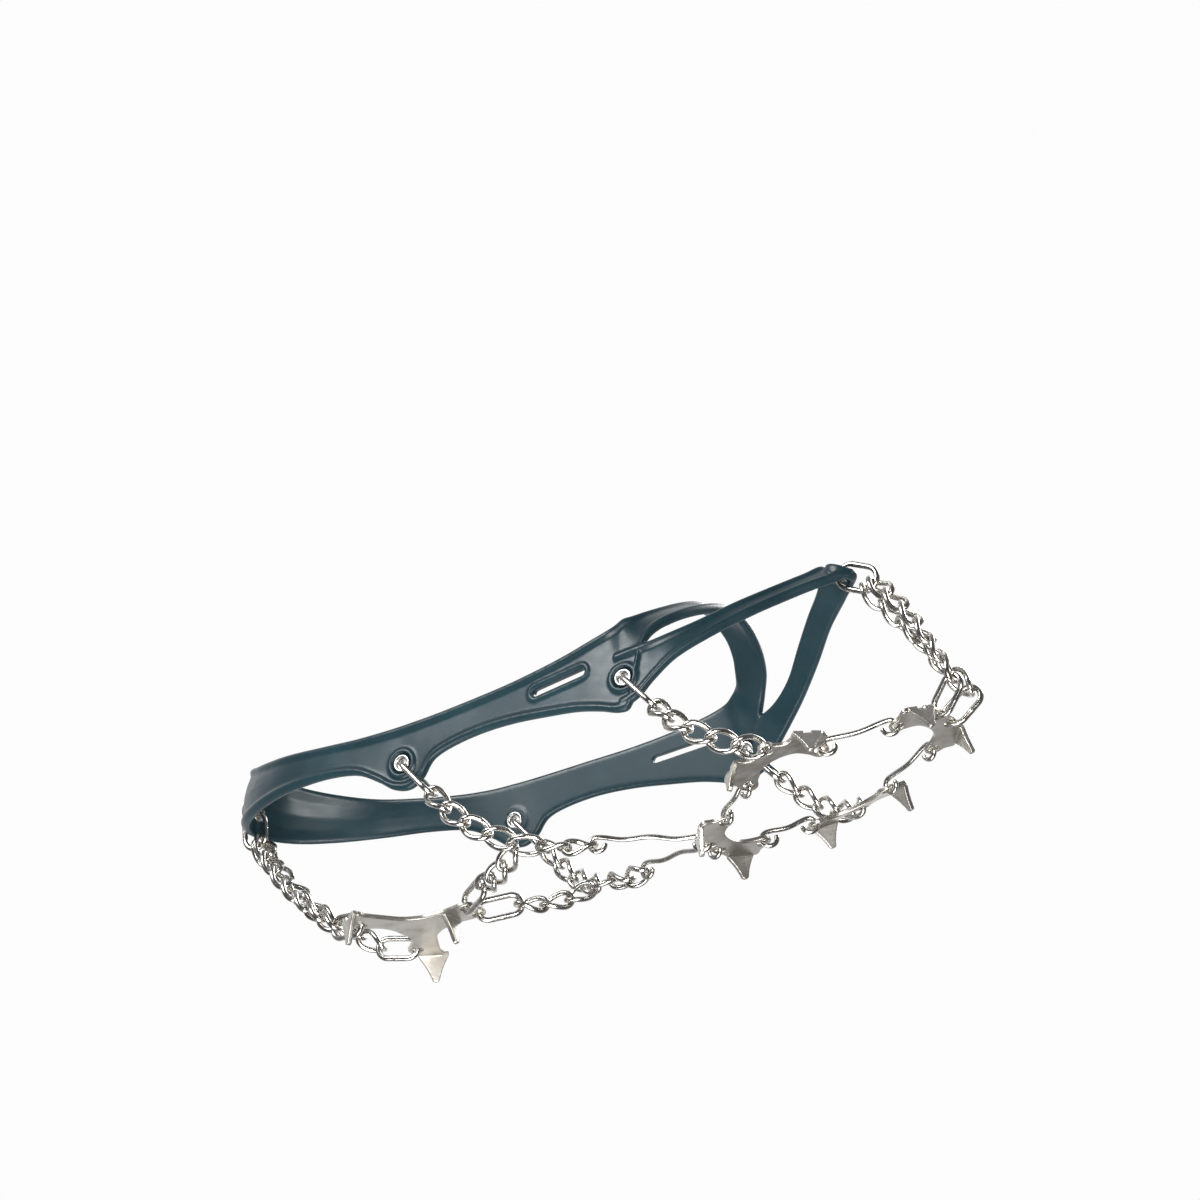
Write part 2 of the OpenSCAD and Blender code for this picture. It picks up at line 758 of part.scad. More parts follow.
module long_link_heel() {
    color(STEEL)
        long_link(
            long_start(heel_eye, heel_pull), long_end(heel_eye, heel_pull, heel_reach), heel_out, end_width
        );
}
module long_link_toe() {
    color(STEEL)
        long_link(
            long_start(toe_eye, toe_pull), long_end(toe_eye, toe_pull, toe_reach), toe_out, end_width
        );
}
module long_link_rear_right() { side_long(rear_eye, rear_pull, rear_out, RIGHT); }
module long_link_rear_left() { side_long(rear_eye, rear_pull, rear_out, LEFT); }
module long_link_fore_right() { side_long(fore_eye, fore_pull, fore_out, RIGHT); }
module long_link_fore_left() { side_long(fore_eye, fore_pull, fore_out, LEFT); }

rear_first = cross(rear_pull, rear_out);
fore_first = cross(fore_pull, fore_out);
module chain_rear_right() {
    side_chain(rear_eye, rear_pull, rear_goal, rear_bow, rear_count, rear_first, junction_normal, RIGHT);
}
module chain_rear_left() {
    side_chain(rear_eye, rear_pull, rear_goal, rear_bow, rear_count, rear_first, junction_normal, LEFT);
}
module chain_fore_right() {
    side_chain(fore_eye, fore_pull, fore_goal, fore_bow, fore_count, fore_first, side_normal, RIGHT);
}
module chain_fore_left() {
    side_chain(fore_eye, fore_pull, fore_goal, fore_bow, fore_count, fore_first, side_normal, LEFT);
}

function end_pair_heel(side) =
    pair_point(heel_eye, heel_pull, heel_reach, heel_aim, heel_pair_half, heel_spread, side);
function end_pair_toe(side) =
    pair_point(toe_eye, toe_pull, toe_reach, toe_aim, toe_pair_half, toe_spread, side);
heel_from_right = end_pair_heel(RIGHT);
heel_from_left = end_pair_heel(LEFT);
toe_from_right = end_pair_toe(RIGHT);
toe_from_left = end_pair_toe(LEFT);

module heel_tail(from, side) {
    tail_chain(
        from, mirror_y(heel_hole, side), mirror_y(heel_lift, side), mirror_y(heel_bow, side), heel_count
    );
}
module toe_tail(from, side) {
    tail_chain(
        from, mirror_y(toe_hole, side), mirror_y(toe_lift, side), mirror_y(toe_bow, side), toe_count
    );
}
module chain_heel_right() { heel_tail(heel_from_right, RIGHT); }
module chain_heel_left() { heel_tail(heel_from_left, LEFT); }
module chain_toe_right() { toe_tail(toe_from_right, RIGHT); }
module chain_toe_left() { toe_tail(toe_from_left, LEFT); }
module long_link_heel_lower_right() {
    tail_long(mirror_y(heel_hole, RIGHT), mirror_y(heel_lift, RIGHT), [0, 0, 1]);
}
module long_link_heel_lower_left() { tail_long(heel_hole, heel_lift, [0, 0, 1]); }
module long_link_toe_lower_right() {
    tail_long(mirror_y(toe_hole, RIGHT), mirror_y(toe_lift, RIGHT), up(toe_pitch));
}
module long_link_toe_lower_left() { tail_long(toe_hole, toe_lift, up(toe_pitch)); }

module long_link_mid_right() { mid_back_long(RIGHT); }
module long_link_mid_left() { mid_back_long(LEFT); }
module chain_mid_back_right() { mid_back_chain(RIGHT); }
module chain_mid_back_left() { mid_back_chain(LEFT); }
module chain_mid_front_right() { mid_front_chain(RIGHT); }
module chain_mid_front_left() { mid_front_chain(LEFT); }

module plate_heel() {
    color(STEEL)
        heel_plate();
}
module plate_instep() {
    color(STEEL)
        translate(instep_plate_at)
            rotate([0, -instep_pitch, 0])
                rotate([0, 0, 180])
                    fore_plate(apex_hole[1]);
}
module plate_toe() {
    color(STEEL)
        translate(toe_plate_at)
            rotate([0, -toe_pitch, 0])
                fore_plate(toe_apex_hole[1]);
}
module plate_side_left() {
    color(STEEL)
        translate(side_plate_at)
            rotate([0, -side_pitch, 0])
                rotate([side_roll, 0, 0])
                    rotate([0, 0, 90])
                        fore_plate(0);
}
module plate_side_right() {
    color(STEEL)
        translate(mirror_y(side_plate_at, RIGHT))
            rotate([0, -side_pitch, 0])
                rotate([-side_roll, 0, 0])
                    rotate([0, 0, -90])
                        fore_plate(0);
}

module wavy_rear_right() { rear_wavy(RIGHT); }
module wavy_rear_left() { rear_wavy(LEFT); }
module wavy_mid_right() { mid_wavy(RIGHT); }
module wavy_mid_left() { mid_wavy(LEFT); }
module wavy_front_right() { front_wavy(RIGHT); }
module wavy_front_left() { front_wavy(LEFT); }

harness_band();
harness_strap();
eyelet_heel();
eyelet_rear_right();
eyelet_rear_left();
eyelet_fore_right();
eyelet_fore_left();
eyelet_toe();
long_link_heel();
long_link_rear_right();
long_link_rear_left();
long_link_fore_right();
long_link_fore_left();
long_link_toe();
long_link_heel_lower_right();
long_link_heel_lower_left();
long_link_mid_right();
long_link_mid_left();
long_link_toe_lower_right();
long_link_toe_lower_left();
chain_heel_right();
chain_heel_left();
chain_rear_right();
chain_rear_left();
chain_mid_back_right();
chain_mid_back_left();
chain_mid_front_right();
chain_mid_front_left();
chain_fore_right();
chain_fore_left();
chain_toe_right();
chain_toe_left();
plate_heel();
plate_instep();
plate_side_right();
plate_side_left();
plate_toe();
wavy_rear_right();
wavy_rear_left();
wavy_mid_right();
wavy_mid_left();
wavy_front_right();
wavy_front_left();
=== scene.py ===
"""Looks of the shoe ice cleat: elastomer harness, twisted chain runs, wavy wires and toothed plates.

Lengths are in millimetres in the shape formulas and become metres when a mesh is made.
x runs from the heel to the toe, y to the left, z up.
"""
import json
import math

import bmesh
import bpy
import numpy as np
from mathutils import Matrix, Vector

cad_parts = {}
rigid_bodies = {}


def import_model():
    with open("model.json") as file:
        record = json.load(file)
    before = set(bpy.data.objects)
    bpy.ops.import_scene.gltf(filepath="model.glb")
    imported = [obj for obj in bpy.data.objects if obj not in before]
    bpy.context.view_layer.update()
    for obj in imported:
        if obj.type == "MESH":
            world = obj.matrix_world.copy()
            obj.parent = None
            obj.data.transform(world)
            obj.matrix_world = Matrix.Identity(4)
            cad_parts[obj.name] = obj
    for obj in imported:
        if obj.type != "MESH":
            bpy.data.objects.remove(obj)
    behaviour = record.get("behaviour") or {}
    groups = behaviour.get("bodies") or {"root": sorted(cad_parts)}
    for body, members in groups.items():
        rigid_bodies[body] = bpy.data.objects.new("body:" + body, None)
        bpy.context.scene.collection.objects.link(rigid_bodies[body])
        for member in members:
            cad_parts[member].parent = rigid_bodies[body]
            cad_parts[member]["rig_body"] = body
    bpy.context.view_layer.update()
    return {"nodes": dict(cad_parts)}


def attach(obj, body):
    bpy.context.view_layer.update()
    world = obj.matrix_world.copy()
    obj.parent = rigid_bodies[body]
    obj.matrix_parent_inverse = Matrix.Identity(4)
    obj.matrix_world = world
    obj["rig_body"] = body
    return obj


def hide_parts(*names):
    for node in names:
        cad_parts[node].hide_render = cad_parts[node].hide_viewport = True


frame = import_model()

MM = 0.001

# ---------------------------------------------------------------- vectors


def vec(*a):
    return np.array(a, float)


def unit(v):
    v = np.asarray(v, float)
    return v / np.linalg.norm(v)


def perp(v, t):
    v = np.asarray(v, float)
    return unit(v - (v @ t) * t)


def turn(v, k, degrees):
    a = math.radians(degrees)
    return v * math.cos(a) + np.cross(k, v) * math.sin(a) + k * (k @ v) * (1 - math.cos(a))


def mirror_y(v, side):
    v = np.asarray(v, float)
    return vec(v[0], v[1] * side, v[2])


def pitch_y(p, degrees):
    c, s = math.cos(math.radians(degrees)), math.sin(math.radians(degrees))
    return vec(p[0] * c - p[2] * s, p[1], p[0] * s + p[2] * c)


def up(degrees):
    return pitch_y([0, 0, 1], degrees)


RIGHT, LEFT = -1, 1
SIDES = ((RIGHT, "right"), (LEFT, "left"))

# ---------------------------------------------------------------- sizes (mm)
CHAIN_WIRE, CHAIN_GAP = 2.1, 0.3
LINK_LENGTH, LINK_WIDTH, LINK_TWIST = 14.4, 9.5, 45
JUNCTION_LENGTH, JUNCTION_WIDTH, JUNCTION_FORK = 15.5, 12.3, 26.8
LONG_WIRE, LONG_WIDTH, END_WIDTH = 2.3, 10.4, 12.0
SIDE_REACH, HEEL_REACH, TOE_REACH, LOWER_REACH, FRONT_REACH = 20.0, 14.6, 16.2, 16.0, 17.6
WAVY_WIRE, EYE_RADIUS, WAVE_HEIGHT, REAR_WIRE_REACH = 1.9, 2.9, 1.0, 45.2
PLATE, HOLE = 1.8, 2.05
HEEL_TOOTH, FORE_TOOTH = 11.6, 10.0
HEEL_TOOTH_WIDTH, FORE_TOOTH_WIDTH = 12.0, 10.6
BAND, BEAD = 3.0, 2.2
RING_RADIUS, SLOT_LENGTH, SLOT_WIDTH = 6.2, 21.0, 3.2
EYELET_BORE, EYELET_BARREL, EYELET_FLANGE = 2.0, 2.6, 3.5
SEAT_HALF, FLANGE = 1.6, 0.5

HALF_RUN = (LINK_LENGTH - CHAIN_WIRE) / 2
HALF_SPAN = (LINK_WIDTH - CHAIN_WIRE) / 2
PITCH = LINK_LENGTH - 2 * CHAIN_WIRE - CHAIN_GAP
BEAR = 0.3
BITE = (LONG_WIRE + CHAIN_WIRE) / 2 + CHAIN_GAP
CHAIN_BITE = CHAIN_WIRE + CHAIN_GAP
WIRE_BITE = (WAVY_WIRE + CHAIN_WIRE) / 2 + CHAIN_GAP

# Attachment points and directions, left side
HEEL_EYE, REAR_EYE = vec(4.3, 0, 67.8), vec(98.6, 42.1, 47.5)
FORE_EYE, TOE_EYE = vec(199.4, 49.1, 47.7), vec(270.3, 0, 82.6)
HEEL_PULL, REAR_PULL = unit([-0.07, 0, -1]), unit([0.58, 0.055, -0.81])
FORE_PULL, TOE_PULL = unit([0.74, 0.085, -0.98]), unit([0.88, 0, -0.475])
HEEL_OUT, TOE_OUT = perp([-1, 0, 0], HEEL_PULL), perp([0, 0, 1], TOE_PULL)
REAR_OUT, FORE_OUT = unit([0, 1, 0.035]), unit([0.05, 1, 0.09])
JUNCTION = vec(133.1, 31.7, 6.7)

HEEL_PLATE_AT, INSTEP_PLATE_AT = vec(74, 0, 0), vec(202.4, 0, -6)
SIDE_PLATE_AT, TOE_PLATE_AT = vec(247, 39.7, 7.3), vec(301, 0, 14.2)
INSTEP_PITCH, SIDE_PITCH, SIDE_ROLL, TOE_PITCH = 9.7, 8.0, 17.0, 16.5
HEEL_FRONT_HOLE, HEEL_REAR_HOLE = vec(22.4, 4.8, 0), vec(-14.6, 20.5, 0)
INSTEP_APEX, TOE_APEX, ARM_HOLE = 3.8, 4.7, vec(-12.5, 15.2, 0)

# Sag of each run, lift of the lower long links, and the paired runs at heel and toe
REAR_BOW, FORE_BOW, MID_BOW = vec(0.33, 0.51, -1.19), vec(-0.17, 0.66, -0.37), (0, 0.3, -1)
HEEL_BOW, TOE_BOW = vec(-0.43, 0.11, -0.45), vec(0.7, 0.35, 0.35)
HEEL_AIM, TOE_AIM = unit([0.554, 0, -0.833]), unit([0.345, 0, -0.9])
HEEL_LIFT, TOE_LIFT = unit([-0.94, -0.27, 0.2]), unit([0.735, 0.262, 0.67])
HEEL_PAIR_HALF, TOE_PAIR_HALF, HEEL_SPREAD, TOE_SPREAD = 1.64, 1.86, -0.45, -0.2
LINKS = {"rear": 4, "fore": 5, "heel": 7, "toe": 6, "mid_back": 3, "mid_front": 2}
LOWER_SLACK = 0.12
WELD_RISE, LONG_WELD_RISE = 0.07, 0.08


def instep_point(p):
    return INSTEP_PLATE_AT + pitch_y([-p[0], -p[1], p[2]], INSTEP_PITCH)


def toe_point(p):
    return TOE_PLATE_AT + pitch_y(p, TOE_PITCH)


def side_point(p):
    c, s = math.cos(math.radians(SIDE_ROLL)), math.sin(math.radians(SIDE_ROLL))
    return SIDE_PLATE_AT + pitch_y([-p[1], p[0] * c - p[2] * s, p[0] * s + p[2] * c], SIDE_PITCH)


# ---------------------------------------------------------------- where runs, links and wires go


def long_ends(eye, pull, reach):
    return eye - pull * BEAR, eye + pull * (reach - BEAR)


def pair_point(eye, pull, reach, aim, half, spread, side):
    """Start of one of the two runs that share the bearing of an end long link."""
    centre = long_ends(eye, pull, reach)[1] - pull * (END_WIDTH - LONG_WIRE) / 2
    radius = (END_WIDTH - LONG_WIRE) / 2 - BITE
    across = unit(np.cross([0, 1, 0], aim))
    ahead = math.sqrt(radius ** 2 - half ** 2)
    return centre + aim * ahead + across * (side * half) + vec(0, side * spread, 0)


def routes():
    """{node: ends and planes} of every run, long link and wavy wire."""
    runs, longs, wires = {}, {}, {}
    back_hole = HEEL_PLATE_AT + HEEL_FRONT_HOLE
    front_hole = instep_point([0, -INSTEP_APEX, 0])
    junction_run = (JUNCTION_LENGTH - CHAIN_WIRE) / 2
    junction_span = (JUNCTION_WIDTH - CHAIN_WIRE) / 2
    to_front, to_back = unit(front_hole - JUNCTION), unit(back_hole - JUNCTION)
    from_rear = unit(REAR_EYE + vec(12, 8, -26) - JUNCTION)
    normal = perp(np.cross(from_rear, to_back), to_front)
    centre = JUNCTION + to_front * junction_span
    across = perp(np.cross(normal, to_front), to_front)

    def fork(a):
        return centre + turn(-to_front, normal, a) * (junction_span - CHAIN_BITE)

    back_from = fork(JUNCTION_FORK)
    front_from = JUNCTION + to_front * (2 * junction_run - CHAIN_BITE)
    side_normal = side_point([0, 0, 1]) - side_point([0, 0, 0])
    longs["long_link_heel"] = (*long_ends(HEEL_EYE, HEEL_PULL, HEEL_REACH), HEEL_OUT, END_WIDTH)
    longs["long_link_toe"] = (*long_ends(TOE_EYE, TOE_PULL, TOE_REACH), TOE_OUT, END_WIDTH)
    side_runs = (
        ("rear", REAR_EYE, REAR_PULL, REAR_OUT, fork(-JUNCTION_FORK), REAR_BOW, normal),
        ("fore", FORE_EYE, FORE_PULL, FORE_OUT, side_point([0, 0, 0]), FORE_BOW, side_normal),
    )
    end_runs = (
        ("heel", HEEL_EYE, HEEL_PULL, HEEL_REACH, HEEL_AIM, HEEL_PAIR_HALF, HEEL_SPREAD,
         HEEL_PLATE_AT + HEEL_REAR_HOLE, HEEL_LIFT, HEEL_BOW, vec(0, 0, 1)),
        ("toe", TOE_EYE, TOE_PULL, TOE_REACH, TOE_AIM, TOE_PAIR_HALF, TOE_SPREAD,
         toe_point([0, TOE_APEX, 0]), TOE_LIFT, TOE_BOW, up(TOE_PITCH)),
    )
    for s, name in SIDES:
        def flip(v):
            return mirror_y(v, s)

        for key, eye, pull, out, goal, bow, last in side_runs:
            p, q = long_ends(eye, pull, SIDE_REACH)
            longs[f"long_link_{key}_{name}"] = (flip(p), flip(q), flip(out), LONG_WIDTH)
            start = q - pull * BITE
            runs[f"chain_{key}_{name}"] = (
                flip(start), flip(goal), flip(perp(bow, unit(goal - start))), LINKS[key],
                flip(np.cross(pull, out)), flip(last), s)
        for key, eye, pull, reach, aim, half, spread, hole, lift, bow, level in end_runs:
            start = pair_point(eye, pull, reach, aim, half, spread, s)
            hole, lift = flip(hole), flip(lift)
            goal = hole + lift * (LOWER_REACH - BITE)
            runs[f"chain_{key}_{name}"] = (
                start, goal, perp(flip(bow), unit(goal - start)), LINKS[key],
                vec(0, 1, 0), np.cross(lift, perp([0, 0, 1], lift)), LEFT)
            longs[f"long_link_{key}_lower_{name}"] = (
                hole - lift * LOWER_SLACK, hole + lift * LOWER_REACH, level, LONG_WIDTH)
        for key, hole, begin, reach, bite in (
                ("mid_back", back_hole, back_from, FRONT_REACH, BITE),
                ("mid_front", front_hole, front_from, REAR_WIRE_REACH, WIRE_BITE)):
            goal = hole + unit(begin - hole) * (reach - bite)
            t = unit(hole - goal)
            bow = perp(MID_BOW, unit(goal - begin))
            runs[f"chain_{key}_{name}"] = (
                flip(begin), flip(goal), flip(bow), LINKS[key],
                flip(normal), flip(np.cross(t, perp([0, 0, 1], t))), s)
        longs[f"long_link_mid_{name}"] = (
            flip(back_hole), flip(back_hole + unit(back_from - back_hole) * FRONT_REACH),
            vec(0, 0, 1), LONG_WIDTH)
        far = front_hole + unit(front_from - front_hole) * REAR_WIRE_REACH
        wires[f"wavy_rear_{name}"] = (flip(front_hole), flip(far), up(INSTEP_PITCH), 2)
        wires[f"wavy_mid_{name}"] = (
            flip(instep_point([ARM_HOLE[0], -ARM_HOLE[1], 0])), flip(side_point(ARM_HOLE)), up(9), 1)
        wires[f"wavy_front_{name}"] = (
            flip(side_point([ARM_HOLE[0], -ARM_HOLE[1], 0])), flip(toe_point(ARM_HOLE)), up(12), 1)
    middle = JUNCTION + to_front * junction_run
    spare = {f"chain_mid_front_{name}": (
        mirror_y(middle, s), mirror_y(to_front, s), mirror_y(across, s), 0,
        junction_run, junction_span) for s, name in SIDES}
    return runs, longs, wires, spare


# ---------------------------------------------------------------- curb links along a bowed line


def along(a, b, bow, total, length):
    chord = np.linalg.norm(b - a)
    sag = math.sqrt(max(0.0001, 3 * chord * (total - chord) / 8))
    s = length / chord
    for _ in range(6):
        s = (length - 8 * sag * sag / chord * (1 - (1 - 2 * s) ** 3) / 6) / chord
    return a + (b - a) * s + bow * (4 * sag * s * (1 - s))


def signed_angle(u, v, t):
    return math.degrees(math.atan2(np.cross(u, v) @ t, u @ v))


def run_links(a, b, bow, count, first, last, hand):
    """Centre, direction and width direction of each link of a run."""
    total = (count - 1) * PITCH + 2 * HALF_RUN
    ends = [(along(a, b, bow, total, i * PITCH), along(a, b, bow, total, i * PITCH + 2 * HALF_RUN))
            for i in range(count)]
    t0, tn = unit(ends[0][1] - ends[0][0]), unit(ends[-1][1] - ends[-1][0])
    side = np.cross(unit(b - a), bow)
    f0 = signed_angle(perp(side, t0), perp(first, t0), t0)
    fn = signed_angle(perp(side, tn), perp(last, tn), tn)
    need = (hand * (fn - f0) - 2 * LINK_TWIST + 150) % 180 - 150
    step = hand * need / (count - 1)
    links = []
    for i, (rear, front) in enumerate(ends):
        t = unit(front - rear)
        links.append(((rear + front) / 2, t, turn(perp(side, t), t, f0 + hand * LINK_TWIST + i * step)))
    return links


def curb_path(hand, run, span, points):
    path = []
    for i in range(points):
        a = 2 * math.pi * i / points
        x, s = run * math.cos(a), math.sin(a)
        w = span * math.copysign(abs(s) ** 0.85, s)
        f = math.radians(hand * LINK_TWIST * x / run)
        path.append(vec(x, w * math.cos(f), w * math.sin(f)))
    return path


# ---------------------------------------------------------------- meshes


class Shape:
    """Vertices and faces gathered from several sweeps, in mm."""

    def __init__(self):
        self.points, self.faces = [], []

    def add(self, points, faces):
        base = len(self.points)
        self.points += [tuple(p) for p in points]
        self.faces += [tuple(base + i for i in f) for f in faces]

    def sweep(self, rings, closed):
        n, m = len(rings), len(rings[0])
        faces = []
        for i in range(n if closed else n - 1):
            for j in range(m):
                k = (j + 1) % m
                faces.append((i * m + j, i * m + k, ((i + 1) % n) * m + k, ((i + 1) % n) * m + j))
        if not closed:
            faces += [tuple(range(m - 1, -1, -1)), tuple((n - 1) * m + j for j in range(m))]
        self.add([p for r in rings for p in r], faces)

    def tube(self, path, normals, radius, sides, closed, swell=None):
        """Round wire along a path. swell(share) scales the radius along it."""
        n, rings = len(path), []
        for i in range(n):
            before = path[(i - 1) % n] if closed else path[max(i - 1, 0)]
            after = path[(i + 1) % n] if closed else path[min(i + 1, n - 1)]
            t = unit(after - before)
            u = perp(normals[i], t)
            w = np.cross(t, u)
            r = radius * (swell(i / n) if swell else 1)
            rings.append([path[i] + (u * math.cos(a) + w * math.sin(a)) * r
                          for a in (2 * math.pi * j / sides for j in range(sides))])
        self.sweep(rings, closed)

    def placed(self, at, t, e):
        """The same shape with local x along t and local y along e."""
        turned = Shape()
        axes = np.column_stack([t, e, np.cross(t, e)])
        turned.points = [tuple(at + axes @ np.array(p)) for p in self.points]
        turned.faces = list(self.faces)
        return turned

    def mesh(self, name):
        data = bpy.data.meshes.new(name)
        data.from_pydata([(x * MM, y * MM, z * MM) for x, y, z in self.points], [], self.faces)
        data.validate()
        data.update()
        return data


def outward(data):
    """Turns every shell's faces outward."""
    bm = bmesh.new()
    bm.from_mesh(data)
    bmesh.ops.recalc_face_normals(bm, faces=bm.faces)
    bm.to_mesh(data)
    bm.free()


def smooth_shade(data):
    data.polygons.foreach_set("use_smooth", [True] * len(data.polygons))
    data.update()


def new_object(name, data, material=None):
    o = bpy.data.objects.new(name, data)
    bpy.context.scene.collection.objects.link(o)
    if material:
        data.materials.clear()
        data.materials.append(material)
    return o


def baked(o):
    """Replaces an object's mesh by its result after its modifiers."""
    graph = bpy.context.evaluated_depsgraph_get()
    data = bpy.data.meshes.new_from_object(o.evaluated_get(graph))
    o.modifiers.clear()
    o.data = data
    return o


def piece(name, nodes, data, material):
    nodes = [nodes] if isinstance(nodes, str) else nodes
    o = new_object(name, data, material)
    smooth_shade(o.data)
    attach(o, frame["nodes"][nodes[0]]["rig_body"])
    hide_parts(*nodes)
    return o


# ---------------------------------------------------------------- materials


def node(tree, kind, **values):
    n = tree.nodes.new(kind)
    for key, value in values.items():
        if key in n.inputs:
            n.inputs[key].default_value = value
        else:
            setattr(n, key, value)
    return n


def new_material(name):
    m = bpy.data.materials.new(name)
    m.use_nodes = True
    t = m.node_tree
    t.nodes.clear()
    out = t.nodes.new("ShaderNodeOutputMaterial")
    shader = t.nodes.new("ShaderNodeBsdfPrincipled")
    t.links.new(shader.outputs[0], out.inputs[0])
    return m, t, shader


def coords(tree, scale=(1, 1, 1)):
    c = tree.nodes.new("ShaderNodeTexCoord")
    m = node(tree, "ShaderNodeMapping", Scale=scale)
    tree.links.new(c.outputs["Object"], m.inputs["Vector"])
    return m.outputs[0]


def noise(tree, vector, scale, detail=6.0, roughness=0.6):
    n = node(tree, "ShaderNodeTexNoise", Scale=scale, Detail=detail, Roughness=roughness)
    tree.links.new(vector, n.inputs["Vector"])
    return n.outputs["Fac"]


def ramp(tree, factor, stops):
    r = tree.nodes.new("ShaderNodeValToRGB")
    while len(r.color_ramp.elements) < len(stops):
        r.color_ramp.elements.new(0.5)
    for e, (at, colour) in zip(r.color_ramp.elements, stops):
        e.position = at
        e.color = (*colour, 1)
    tree.links.new(factor, r.inputs[0])
    return r.outputs[0]


def spread(tree, factor, low, high, start=0.3, end=0.7):
    m = node(tree, "ShaderNodeMapRange")
    for key, value in (("From Min", start), ("From Max", end), ("To Min", low), ("To Max", high)):
        m.inputs[key].default_value = value
    tree.links.new(factor, m.inputs["Value"])
    return m.outputs[0]


def bump(tree, shader, heights):
    """heights: (factor, strength, distance in metres), the coarsest first."""
    last = None
    for factor, strength, distance in heights:
        b = node(tree, "ShaderNodeBump", Strength=strength, Distance=distance)
        tree.links.new(factor, b.inputs["Height"])
        if last:
            tree.links.new(last, b.inputs["Normal"])
        last = b.outputs[0]
    tree.links.new(last, shader.inputs["Normal"])


def chain_steel():
    """Drawn and tumbled stainless wire: bright, with warm dark patches and fine scuffs."""
    m, t, s = new_material("chain_steel")
    v = coords(t)
    patches = noise(t, v, 190, 5)
    scuffs = noise(t, v, 900, 5, 0.55)
    t.links.new(ramp(t, patches, [(0.30, (0.36, 0.33, 0.29)), (0.47, (0.63, 0.61, 0.57)),
                                  (0.70, (0.78, 0.77, 0.74))]), s.inputs["Base Color"])
    t.links.new(spread(t, scuffs, 0.14, 0.27), s.inputs["Roughness"])
    s.inputs["Metallic"].default_value = 1.0
    bump(t, s, [(patches, 0.10, 0.0002), (scuffs, 0.05, 0.00002)])
    return m


def plate_steel():
    """Stamped stainless sheet: satin grain along x, faint stains, scuffed."""
    m, t, s = new_material("plate_steel")
    grain = noise(t, coords(t, (120, 900, 900)), 1.0, 6, 0.7)
    v = coords(t)
    stains = noise(t, v, 90, 6)
    pits = noise(t, v, 1200, 4)
    t.links.new(ramp(t, stains, [(0.30, (0.40, 0.37, 0.32)), (0.5, (0.58, 0.555, 0.51)),
                                 (0.72, (0.68, 0.665, 0.63))]), s.inputs["Base Color"])
    t.links.new(spread(t, grain, 0.27, 0.46), s.inputs["Roughness"])
    s.inputs["Metallic"].default_value = 1.0
    bump(t, s, [(stains, 0.08, 0.0003), (grain, 0.12, 0.00004), (pits, 0.06, 0.00002)])
    return m


def eyelet_steel():
    m, t, s = new_material("eyelet_steel")
    v = coords(t)
    tint = noise(t, v, 400, 4)
    rub = noise(t, v, 2600, 6)
    t.links.new(ramp(t, tint, [(0.3, (0.55, 0.54, 0.52)), (0.7, (0.76, 0.76, 0.75))]), s.inputs["Base Color"])
    t.links.new(spread(t, rub, 0.2, 0.4), s.inputs["Roughness"])
    s.inputs["Metallic"].default_value = 1.0
    bump(t, s, [(rub, 0.12, 0.00003)])
    return m


def elastomer():
    """Moulded elastomer: deep teal, satin with a soft gloss, fine mould texture and light scuffing."""
    m, t, s = new_material("elastomer")
    v = coords(t)
    cloud = noise(t, v, 28, 5)
    grainy = noise(t, v, 900, 5, 0.55)
    rubbed = noise(t, coords(t, (1, 1, 2.5)), 160, 7, 0.7)
    t.links.new(ramp(t, cloud, [(0.30, (0.006, 0.022, 0.030)), (0.55, (0.009, 0.031, 0.041)),
                                (0.75, (0.013, 0.043, 0.054))]), s.inputs["Base Color"])
    t.links.new(spread(t, rubbed, 0.30, 0.46), s.inputs["Roughness"])
    s.inputs["Coat Weight"].default_value = 0.15
    s.inputs["Coat Roughness"].default_value = 0.15
    s.inputs["Specular IOR Level"].default_value = 0.42
    bump(t, s, [(cloud, 0.12, 0.0006), (rubbed, 0.05, 0.00008), (grainy, 0.06, 0.00003)])
    return m


CHAIN_STEEL, PLATE_STEEL = chain_steel(), plate_steel()
EYELET_STEEL, ELASTOMER = eyelet_steel(), elastomer()

# ---------------------------------------------------------------- links and wires


def weld(at, width, rise):
    """A butt weld: the wire swells a little over a short stretch."""
    def swell(share):
        return 1 + rise * math.exp(-(((share - at + 0.5) % 1 - 0.5) / width) ** 2)
    return swell


def curb_link(hand, run=HALF_RUN, span=HALF_SPAN):
    s = Shape()
    path = curb_path(hand, run, span, 84)
    s.tube(path, path, CHAIN_WIRE / 2, 16, True, weld(0.25, 0.014, WELD_RISE))
    return s


def chain(name, run, spare):
    s = Shape()
    for at, t, e in run_links(*run):
        link = curb_link(run[6]).placed(at, t, e)
        s.add(link.points, link.faces)
    if spare:
        at, t, e, hand, length, span = spare
        link = curb_link(hand, length, span).placed(at, t, e)
        s.add(link.points, link.faces)
    data = s.mesh(name)
    outward(data)
    return piece("look_" + name, name, data, CHAIN_STEEL)


